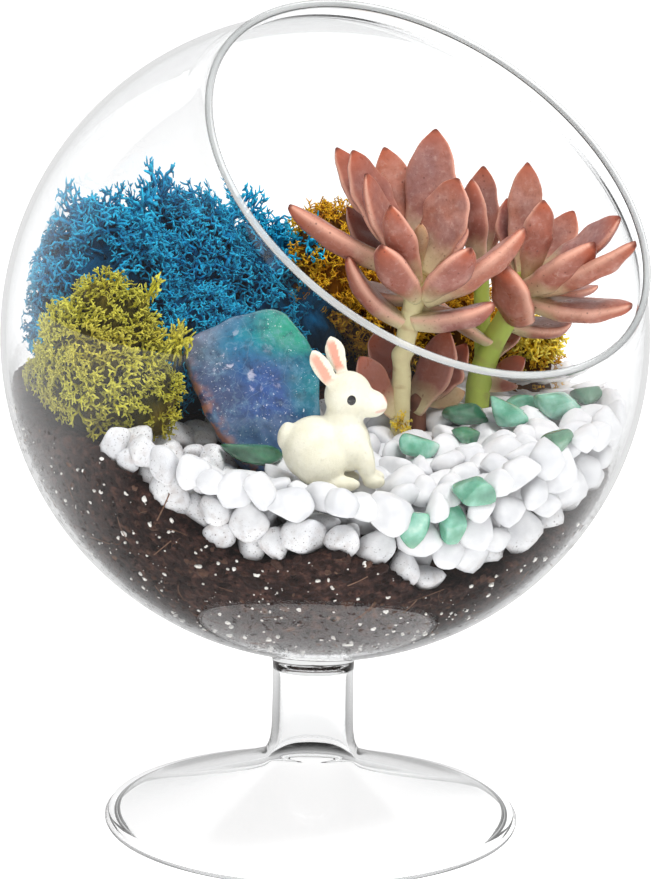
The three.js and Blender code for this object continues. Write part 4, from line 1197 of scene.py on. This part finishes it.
# ---- moss ----
# A mound: round lumps, tall sprigs as root and tip, where it may grow, sprigs to the square mm, and a
# sprig's thickness, fork angle and curl.
BLUE_MOSS = {
    "name": "blue_moss",
    "lumps": [
        ((-51, 2, 122), (19, 20, 27)), ((-33, 22, 122), (19, 20, 28)), ((-15, 27, 119), (13.9, 18, 25)),
        ((-3, 22, 114), (9, 13, 20)), ((-30, -4, 112), (18, 12, 18)), ((-43, 38, 118), (13.5, 16, 22)),
        ((-20, 47, 113), (13.5, 13, 18)),
    ],
    "tall": [
        ((-40, 14, 143), (-39, 13, 156)), ((-29, 16, 141), (-27, 14, 151)), ((-4, 18, 133), (-2, 16, 142)),
        ((-57, 0, 138), (-60, -2, 151)), ((-50, 4, 142), (-51, 3, 153)), ((-62, 4, 128), (-66, 2, 142)),
        ((-45, 8, 142), (-46, 8, 152)), ((-54, 6, 140), (-56, 6, 151)), ((-20, 20, 138), (-17, 18, 148)),
    ],
    "room": lambda x, y: (y > np.interp(x, [-90, -26, -2], [-12, -20, -20])) & (
        (x < -8) | ((x < -2) & (y < 12 + (-2 - x) * 2))
    ),
    "seed": 21, "density": 0.1, "sprig": (0.04, 0.8, 0.75),
}
GREEN_MOSS = {
    "name": "green_moss",
    "lumps": [
        ((-50, -31, 113), (15, 15, 20)), ((-58, -24, 106), (12, 13, 13)), ((-40, -33, 107), (9, 10, 12)),
        ((-48, -32, 125), (9, 9, 11)),
    ],
    "tall": [((-40, -34, 126), (-38.5, -34, 135)), ((-33, -35, 116), (-30, -36, 124))],
    "room": lambda x, y: y < np.interp(x, [-90, -26], [-12, -20]),
    "seed": 31, "density": 0.13, "sprig": (0.052, 0.7, 0.55),
}
YELLOW_MOSS = {
    "name": "yellow_moss",
    "lumps": [
        ((1, 25, 130), (12, 13, 17)), ((15, 30, 122), (13, 14, 17)), ((31, 35, 113), (13, 13, 15)),
        ((48, 31, 107), (10, 11, 10)), ((12, 47, 112), (13.5, 13, 15)),
    ],
    "tall": [],
    "room": lambda x, y: (y > 12) & (x > -8) & ((x > -2) | (y > 12 + (-2 - x) * 2)),
    "seed": 41, "density": 0.13, "sprig": (0.036, 0.8, 0.7),
}
MOSS_GAP = 0.6  # between moss and the glass
MOSS_SOFT = 5.0  # how deep the zone is in which the glass presses moss
MOSS_SHADE_CORE = 0.74  # size of the dark inside of a lump, a body in the deep colour that stands as painted shade between the sprigs
MOSS_DEPTH = 4.5  # how far that inside keeps from the glass


SPRIG_LEVELS = 3  # how often a sprig forks
SPRIG_SIDES = 3


def sprig(rng, thick, fork, curl):
    """One branching sprig of moss along +Z that reaches about one unit."""
    parts = []
    steps = 1 / (SPRIG_LEVELS + 1)

    def grow(start, heading, length, radius, level, done):
        bend = unit(heading + rng.normal(size=3) * curl)
        middle = start + heading * length * 0.5
        end = middle + bend * length * 0.5
        radii = radius * np.array([1, 0.97, 0.55 if level == 0 else 0.94])
        verts, faces = tube([start, middle, end], radii, SPRIG_SIDES)
        share = np.repeat([done, done + steps / 2, done + steps], SPRIG_SIDES)
        parts.append({"verts": verts, "faces": faces, "out": np.r_[share, share[0], share[-1]]})
        if level == 0:
            return
        turn = rng.uniform(0, 2 * math.pi)
        count = 2 + (rng.random() < 0.5)
        side = unit(np.cross(bend, rng.normal(size=3)))
        other = np.cross(bend, side)
        for k in range(count):
            spin = turn + 2 * math.pi * k / count
            away = math.cos(spin) * side + math.sin(spin) * other
            lean = fork * rng.uniform(0.6, 1.25)
            child = unit(math.cos(lean) * bend + math.sin(lean) * away)
            grow(end, child, length * rng.uniform(0.65, 1.0), radius * 0.92, level - 1, done + steps)

    grow(np.zeros(3), np.array([0.0, 0.0, 1.0]), 0.3, thick, SPRIG_LEVELS, 0.0)
    part = gather(parts)
    part["verts"] /= np.linalg.norm(part["verts"], axis=1).max()
    return part


def lump_points(lumps, index, rng, count):
    """Even places on one lump's skin that no other lump covers."""
    centre, half = (np.array(v, float) for v in lumps[index])
    out = unit(rng.normal(size=(count, 3)))
    skin = centre + out * half
    free = np.ones(count, bool)
    for other, (middle, size) in enumerate(lumps):
        if other != index:
            free &= np.linalg.norm((skin - middle) / np.array(size, float), axis=1) > 0.86
    normal = unit(out / half)
    return (centre + out * half * MOSS_SHADE_CORE)[free], normal[free], (half.mean() * (1.06 - MOSS_SHADE_CORE))


def moss_piece(recipe):
    rng = np.random.default_rng(recipe["seed"])
    templates = [sprig(rng, *recipe["sprig"]) for _ in range(24)]
    lumps = recipe["lumps"]
    parts = []
    for index, (centre, half) in enumerate(lumps):
        area = 4 * math.pi * (half[0] * half[1] * half[2]) ** (2 / 3)
        count = int(area * recipe["density"] * (1))
        roots, normals, height = lump_points(lumps, index, rng, count)
        tips = roots + normals * height
        keep = tips[:, 2] > ground_top(tips[:, 0], tips[:, 1]) + 0.5
        keep &= recipe["room"](roots[:, 0], roots[:, 1])
        keep &= np.linalg.norm(roots - GLOBE_CENTRE, axis=1) < INSIDE - 1.5
        for root, normal in zip(roots[keep], normals[keep]):
            parts.append(placed_sprig(templates[rng.integers(len(templates))], root, normal, height, rng))
        shade_core = moss_shade_core(centre, half, rng)
        shade_core["verts"] = pressed_to_glass(shade_core["verts"], MOSS_GAP + MOSS_DEPTH, MOSS_SOFT)
        parts.append(shade_core)
    for root, tip in recipe["tall"]:
        start, end = np.array(root, float), np.array(tip, float)
        for _ in range(5):
            base = start + rng.normal(size=3) * 1.2
            top = templates[rng.integers(len(templates))]
            reach = np.linalg.norm(end - base)
            parts.append(placed_sprig(top, base, unit(end - base), reach, rng, 0.12, 0.55))
    part = gather(parts)
    part["verts"] = pressed_to_glass(part["verts"], MOSS_GAP, MOSS_SOFT)
    floor = ground_top(part["verts"][:, 0], part["verts"][:, 1]) + 0.3
    part["verts"][:, 2] = np.maximum(part["verts"][:, 2], floor - 2.5)
    name = recipe["name"]
    add_piece(f"{name}_tufts", part, name, moss_material(name), name)


def placed_sprig(template, root, normal, height, rng, stray=0.42, slim=1.0):
    up = unit(normal + rng.normal(size=3) * stray)
    side = unit(np.cross(up, rng.normal(size=3)))
    frame_of = np.stack([side * slim, np.cross(up, side) * slim, up], -1)
    size = height * rng.uniform(0.75, 1.3)
    return {
        "verts": (template["verts"] * size) @ frame_of.T + root,
        "faces": template["faces"],
        "out": template["out"],
    }


# The dark inside of a lump, all in the deep colour: painted shade that fills the gaps between the sprigs.
def moss_shade_core(centre, half, rng):
    verts, faces = ball(5)
    rough = 1 + sum(0.05 * waves(verts, size, int(rng.integers(1000))) for size in (0.5, 0.16))
    verts = verts * rough[:, None] * np.array(half, float) * MOSS_SHADE_CORE + np.array(centre, float)
    return {"verts": verts, "faces": faces, "out": np.zeros(len(verts))}


MOSS_WISPS = [  # loose bright yellow tufts: middle, reach, number of sprigs
    ("wisp_at_stem", (17.8, -19.6, 100.6), 2.6, 10),
    ("wisp_at_right", (50, 27, 113.5), 6.5, 60),
]


def wisp_piece(name, middle, reach, count, material):
    rng = np.random.default_rng(71)
    templates = [sprig(rng, 0.045, 0.8, 0.7) for _ in range(8)]
    parts = []
    for _ in range(count):
        away = unit(rng.normal(size=3)) * (1, 0.6, 0.7)
        root = np.array(middle) + away * reach * 0.3
        parts.append(placed_sprig(templates[rng.integers(8)], root, unit(away), reach, rng))
    part = gather(parts)
    part["verts"] = pressed_to_glass(part["verts"], MOSS_GAP, MOSS_SOFT)
    add_piece(name, part, "yellow_moss", material)


def moss_pieces():
    for recipe in (BLUE_MOSS, GREEN_MOSS, YELLOW_MOSS):
        moss_piece(recipe)
    bright = moss_material("bright_moss")
    for name, place_at, reach, count in MOSS_WISPS:
        wisp_piece(name, place_at, reach, count, bright)


# ---- succulents ----
LEFT_STEM = {
    "points": [
        (17.3, -15, ROOT_DEPTH), (17.4, -15, 100.7), (17.5, -15, 106.8), (17.7, -15, 112.3),
        (18.2, -15, 118.4), (19.6, -15, 125.4), (20.9, -15, 131.5), (21, -15, 138.1),
    ],
    "radii": (2.2, 2.2, 2.2, 2.2, 2.25, 2.4, 2.6, 1.8),
}
# A leaf: root, tip, width, thickness, the way its upper side looks, bow, paleness, darkness, and how full
# it is at the root. Darkness is painted shade on low, inner and hidden leaves, and partly a browner leaf
# colour.
LEFT_LEAVES = [
    ((17.7, -15, 135.1), (-8.7, -17, 149.1), 7.6, 8.4, (0.3, 0.1, 1), 1.2, 0, 0.35),
    ((19.2, -15, 122.3), (4.7, -19, 138.1), 6.6, 7.4, (0.8, -0.1, 0.6), 2.2, 0, 0.2),
    ((18.7, -12.5, 137.1), (1.7, -8, 161.4), 9, 5, (0.6, -0.7, 0.3), 1, 0, 0.5),
    ((18.2, -12, 133), (4.5, -7, 147.8), 8, 5, (0.6, -0.6, 0.5), 1.5, 0, 0.5),
    ((19.2, -15.5, 136.6), (5.3, -16, 161.6), 10.5, 6, (0.6, -0.75, 0.2), 1.5, 0, 0.45),
    ((19.7, -17, 134.5), (8.4, -24, 157.3), 8.6, 5.6, (0.75, -0.5, 0.35), 1.5, 0, 0.25),
    ((20.4, -17, 132), (13.8, -29, 150.9), 7.4, 5.6, (0.3, 0.8, 0.5), 1, 0, 0.15),
    ((20.4, -12, 137.1), (12.6, -6, 161.5), 9.4, 5, (0.2, -1, 0.2), 1, 0, 0.15),
    ((21, -13, 136.6), (24.1, -11, 166.3), 11.6, 5.6, (-0.25, -1, 0.1), 1.6, 0, 0),
    ((21.7, -16.5, 134.5), (28.9, -21, 156.3), 11.6, 5.6, (-0.45, -0.85, 0.3), 1.2, 0, 0),
    ((21, -17, 136.6), (20.9, -21, 146.1), 3.6, 2.8, (0, 0.9, 0.4), 0.3, 0.35, 0),
    ((22.2, -13, 135.6), (32, -8, 143.7), 6.6, 4.6, (-0.5, -0.3, 0.8), 1, 0, 0.2),
    ((22.2, -17, 129.5), (31.8, -29, 141.7), 9.6, 7, (-0.3, 0.5, 0.8), 1.4, 0, 0),
    ((21.7, -16, 128.5), (44.1, -22, 145.5), 8, 8.8, (-0.5, 0, 0.85), 1.8, 0, 0),
    ((20.7, -17, 129), (11.9, -30, 142.1), 8.8, 7, (0.3, 0.5, 0.8), 1.4, 0, 0.15),
    ((19.6, -16, 123.4), (37.9, -21, 128.2), 7, 8.4, (-0.2, 0, 1), 1.2, 0, 0.1),
    ((20.8, -14, 127), (36.6, -5, 122), 7.6, 5, (0, 0, 1), 0.3, 0, 0.3),
    ((20.7, -13.5, 128), (8.2, -3, 130.3), 8, 5.4, (0, 0, 1), 1.2, 0, 0.2),
    ((16.4, -16, 101.7), (7.7, -23, 116), 8.4, 3.4, (0.5, -0.8, 0.2), 0.8, 0, 0.8),
]
RIGHT_STEM = {
    "points": [
        (35.7, 4, ROOT_DEPTH), (36.1, 4, 103.6), (38.3, 4, 113.2),
        (41.4, 4, 119.7), (44.4, 4, 125.2), (46.3, 4, 131.2),
    ],
    "radii": (2.8, 2.9, 2.8, 2.7, 2.6, 2.2),
}
RIGHT_LEAVES = [
    ((46.1, 5, 130.2), (46.1, 6, 157.5), 8.6, 5.4, (0.2, -1, 0.1), 1, 0, 0),
    ((45.6, 6, 130.2), (41.9, 11, 148.5), 8, 4.6, (0.5, -0.8, 0.3), 1, 0, 0.15),
    ((46.7, 3, 130.7), (49.5, -3, 149.8), 7.6, 5.4, (-0.2, 0.8, 0.5), 1, 0, 0),
    ((47.1, 5, 130.7), (57.6, 10, 145.9), 9, 4.8, (-0.4, -0.7, 0.5), 1, 0, 0.1),
    ((47.1, 4, 129.7), (66.8, -6, 146.6), 9.4, 6.2, (-0.5, -0.5, 0.7), 1, 0, 0),
    ((44.8, 1.5, 122.2), (40.8, -7, 135.2), 11.6, 8.2, (0.8, 0.5, 0.3), 0.4, 0, 0.25, 1),
    ((46.5, 3, 128.7), (61.1, -8, 140.7), 11, 9.2, (-0.3, 0.4, 0.85), 1.4, 0, 0),
    ((46.9, 4, 127.7), (69.9, -13, 141.7), 8, 7.8, (-0.4, 0.2, 0.9), 1.4, 0, 0),
    ((46.5, 5, 127.2), (63.9, 10, 128.3), 7.6, 5, (0, 0, 1), 1, 0, 0.2),
    ((45.7, 3, 126.2), (70.4, -6, 126.3), 9, 8.2, (0, -0.2, 1), 1.8, 0, 0),
    ((42.3, 5, 120.2), (57.8, 8, 119.7), 8.4, 6.4, (0, -0.2, 1), 1.2, 0, 0.1),
    ((39.5, 3, 115.2), (24.8, -1.5, 127), 6.4, 5, (0.5, 0, 0.9), 1, 0.2, 0.2),
    ((39.5, 6, 111.7), (45.4, 10, 121.1), 6, 3.4, (-0.5, -0.8, 0), 0.6, 0, 0.7),
    ((37.9, 3.5, 105.7), (46.7, 2, 112.2), 5.6, 3.4, (-0.5, -0.8, 0.2), 0.6, 0, 0.8),
]
BACK_STEM = {
    "points": [(37.6, 13, ROOT_DEPTH), (37.5, 13, 106), (37, 12.6, 120), (36.2, 12, 133)],
    "radii": (2, 2, 1.9, 1.8),
}
BACK_LEAVES = [
    ((36.2, 12, 131), (33.6, 11, 152.9), 7.4, 5, (0.5, 0.7, 0.3), 1, 0, 0.3),
    ((35.8, 13, 131.5), (36.4, 15, 155.6), 8.4, 5, (0, -1, 0.2), 1, 0, 0.1),
    ((36.6, 13, 131.5), (39.2, 17, 147.8), 6, 4, (-0.3, -1, 0.2), 0.6, 0, 0.2),
    ((35.6, 13, 129), (26, 17, 139), 7, 4.6, (0.6, -0.3, 0.7), 1.2, 0, 0.2),
]
LOW_STEM = {"points": [(21.6, -9.2, ROOT_DEPTH), (21.6, -9.2, 96.8), (21.4, -9, 104.4)], "radii": (1.9, 2, 2)}
LOW_LEAVES = [
    ((20, -8.6, 101.9), (11.4, -6.4, 119.6), 8.6, 4, (0.6, -0.8, 0.1), 1, 0, 0.85),
    ((20.8, -10, 101.2), (28.2, -11.4, 120.4), 9.8, 5, (-0.6, -0.8, 0.1), 1.2, 0, 0.6),
    ((22, -9, 103.8), (32.6, -6.4, 105.8), 6.4, 3.4, (-0.1, -0.9, 0.3), 0.6, 0.4, 0.2),
    ((21.6, -8.6, 101.9), (32.8, -2, 116), 8, 4, (-0.5, -0.7, 0.3), 1, 0, 0.7),
]
LEAF_OUTLINE = [  # share of the length from the root, share of half the width
    (0, 0.42), (0.15, 0.6), (0.3, 0.82), (0.46, 0.95), (0.62, 1), (0.76, 0.88), (0.88, 0.6), (0.96, 0.25),
]
LEAF_STEPS = 26
LEAF_SIDES = 28
STALK_SIDES = 22


def leaf_part(spec):
    """A fleshy pointed leaf: a flat upper side, a keel below, and a spine that bows away from that side."""
    sides = LEAF_SIDES
    root, tip, width, thickness, face, bow, *shades = spec
    pale, dark, full = (*shades, 0, 0, 0)[:3]
    start, end = np.array(root, float), np.array(tip, float)
    along = unit(end - start)
    side = unit(np.cross(along, face))
    up = np.cross(side, along)
    middle = (start + end) / 2 - 2 * bow * up
    t = np.append(np.linspace(0, 0.9, LEAF_STEPS - 4), [0.935, 0.96, 0.98, 0.993])[:, None]
    spine = (1 - t) ** 2 * start + 2 * t * (1 - t) * middle + t**2 * end
    outline = curve_through([*LEAF_OUTLINE, (1.0, 0.04)], 12)
    share = np.interp(t, outline[:, 0], outline[:, 1]) + 0.42 * full * (1 - t) ** 1.6
    half = width / 2 * share
    deep = thickness * np.sqrt(share) * (1 - 0.3 * t)
    angle = np.linspace(0, 2 * math.pi, sides, endpoint=False)
    across = np.sign(np.cos(angle)) * np.abs(np.cos(angle)) ** 0.85
    rise = np.sin(angle)
    margin = 0.05 * np.exp(-(((np.abs(np.cos(angle)) - 0.9) / 0.07) ** 2))
    top = 0.05 + 0.27 * np.maximum(rise, 0) ** 0.9 - 0.06 * rise**4 + margin
    through = np.where(rise > 0, top, 0.05 - 0.52 * np.abs(rise) ** 1.15)
    rings = spine[:, None] + side * (half * across)[..., None] + up * (deep * through)[..., None]
    wavy = 0.035 * width * waves(rings.reshape(-1, 3), 7, 91).reshape(len(t), sides, 1) * share[..., None]
    rings = rings + unit(rings - spine[:, None]) * wavy
    verts = np.vstack([rings.reshape(-1, 3), start - along * 0.4, end])
    count = len(t)
    edge = np.tile(np.abs(np.cos(angle)) ** 18, (count, 1)).ravel()
    flush = np.tile(0.8 * np.abs(np.cos(angle)) ** 9, (count, 1))
    flush = np.maximum(flush, smoothstep(t, 0.72, 1.0) * np.ones(sides)).ravel()
    # keel is 1 on the leaf's underside, which the material paints darker as painted shade.
    keel = np.tile(smoothstep(-rise, -0.1, 0.4), count)
    return {
        "verts": verts,
        "faces": ring_faces(count, sides),
        "along": np.r_[np.repeat(t.ravel(), sides), 0, 1] * (1 - 0.55 * full) + 0.55 * full,
        "edge": np.r_[edge, 0, 0.4],
        "flush": np.r_[flush, 0, 1],
        "under": np.r_[keel, 0.5, 0.5],
        "tone": np.full(len(verts), float(pale)),
        "dark": np.full(len(verts), float(dark)),
        "hue": np.full(len(verts), (end @ (0.37, 0.71, 0.53)) % 1.0),
    }


def stem_part(spec, scars):
    line = curve_through(spec["points"], 14)
    radii = curve_through([(r, 0) for r in spec["radii"]], 14)[:, 0]
    rings = np.abs(np.sin(np.arange(len(line)) * 0.45)) ** 8
    verts, faces = tube(line, radii * (1 + 0.008 * rings), STALK_SIDES)
    marks = smoothstep(waves(verts, 4, scars) + 0.5 * np.r_[np.repeat(rings, STALK_SIDES), 0, 0], 0.7, 1.4)
    middles = np.r_[np.repeat(line, STALK_SIDES, axis=0), line[:1], line[-1:]]
    verts = verts + unit(verts - middles) * (0.03 * waves(verts, 2.5, scars + 1))[:, None]
    return {"verts": verts, "faces": faces, "scar": marks * 0.6}


def plant_pieces():
    rose = leaf_material("rose_leaf")
    pale = stem_material("pale_stem", colour(220, 210, 162), colour(170, 134, 98))
    lime = stem_material("lime_stem", colour(178, 196, 88), colour(164, 158, 90))
    brown = stem_material("brown_stem", colour(128, 82, 62), colour(88, 52, 42))
    plants = [
        ("left", LEFT_STEM, LEFT_LEAVES, pale), ("right", RIGHT_STEM, RIGHT_LEAVES, lime),
        ("back", BACK_STEM, BACK_LEAVES, lime), ("low", LOW_STEM, LOW_LEAVES, brown),
    ]
    for number, (name, stalk, leaves, bark) in enumerate(plants):
        node = f"succulent_{name}"
        add_piece(f"{name}_leaves", gather([leaf_part(one) for one in leaves]), "succulent_leaf", rose, node)
        add_piece(f"{name}_stem", stem_part(stalk, 80 + number), "succulent_leaf", bark, node)


# ---- studio ----
CAMERA_PLACE = (0.0, -0.6666, 0.2229)
CAMERA_FORWARD = (0.0011, 0.9814, -0.1921)
CAMERA_RIGHT = (0.9998, 0.0023, 0.0177)
CAMERA_LENS = 119.08  # mm, for 36 mm along the picture's long side
AIM = (0.0, 0.0, 0.1)
ROOM_LIGHT = 0.54


def make_camera():
    data = bpy.data.cameras.new("camera")
    data.lens = CAMERA_LENS
    data.sensor_width = 36
    data.clip_start = 0.01
    forward = Vector(CAMERA_FORWARD).normalized()
    right = Vector(CAMERA_RIGHT)
    right = (right - forward * right.dot(forward)).normalized()
    up = right.cross(forward)
    camera = new_object("camera", data)
    turn = Matrix((right, up, -forward)).transposed().to_4x4()
    camera.matrix_world = Matrix.Translation(CAMERA_PLACE) @ turn
    bpy.context.scene.camera = camera


def softbox(name, place_at, size, power):
    data = bpy.data.lights.new(name, "AREA")
    data.shape = "SQUARE"
    data.size = size
    data.energy = power
    lamp = new_object(name, data)
    lamp.location = place_at
    lamp.visible_glossy = False
    lamp.visible_transmission = False
    lamp.rotation_mode = "QUATERNION"
    lamp.rotation_quaternion = (Vector(AIM) - Vector(place_at)).to_track_quat("-Z", "Y")


def reflected(tree):
    """1 for light that came by way of a reflection and few glass faces."""
    path = add_node(tree, "LightPath")
    shiny = maths(tree, "GREATER_THAN", path.outputs["Glossy Depth"], 0.5)
    few = maths(tree, "LESS_THAN", path.outputs["Transmission Depth"], MIRRORED_DEPTH)
    return maths(tree, "MULTIPLY", shiny, few)


def make_world():
    """A white room, which reflections see with a dim front wall, so that no white veil lies on the glass."""
    world = bpy.data.worlds.new("studio")
    world.use_nodes = True
    world.cycles.sampling_method = "NONE"
    tree = world.node_tree
    tree.nodes.clear()
    heading = add_node(tree, "SeparateXYZ", {0: add_node(tree, "TexCoord").outputs["Generated"]})
    overhead = spread(tree, heading.outputs["Z"], 0.6, 1.0)
    backward = spread(tree, heading.outputs["Y"], 0.05, 0.75)
    walls = blend(tree, backward, (*(MIRRORED_FRONT,) * 3, 1), (*(MIRRORED_BACK,) * 3, 1))
    mirrored = blend(tree, overhead, walls, (0.9, 0.91, 0.93, 1))
    soft = add_node(tree, "Background", {"Color": (1, 1, 1, 1), "Strength": ROOM_LIGHT})
    seen = add_node(tree, "Background", {"Color": (1, 1, 1, 1), "Strength": 1.0})
    shiny = add_node(tree, "Background", {"Color": mirrored, "Strength": 1.0})
    whole = mix_shaders(tree, reflected(tree), seen, shiny)
    diffuse = add_node(tree, "LightPath").outputs["Is Diffuse Ray"]
    last = mix_shaders(tree, diffuse, whole, soft)
    add_node(tree, "OutputWorld", {"Surface": last.outputs[0]})
    bpy.context.scene.world = world


def make_floor():
    mesh = bpy.data.meshes.new("floor")
    reach = 12.0
    corners = [(x * reach, y * reach, 0) for x, y in ((-1, -1), (1, -1), (1, 1), (-1, 1))]
    mesh.from_pydata(corners, [], [(0, 1, 2, 3)])
    mesh.materials.append(floor_material())
    new_object("floor", mesh)


def make_studio():
    bpy.context.scene.view_settings.view_transform = "Standard"
    cycles = bpy.context.scene.cycles
    cycles.max_bounces = 24
    cycles.transmission_bounces = 24
    cycles.glossy_bounces = 12
    cycles.transparent_max_bounces = 16
    make_world()
    make_floor()
    softbox("top", (0.4, -0.5, 1.5), 0.6, 24)
    softbox("front", (-0.6, -1.5, 0.9), 0.9, 4)


make_camera()
make_studio()
glass_piece()
soil_piece()
crumb_pieces()
fibre_piece()
pebble_piece()
chip_pieces()
slab_piece()
rabbit_pieces()
moss_pieces()
plant_pieces()
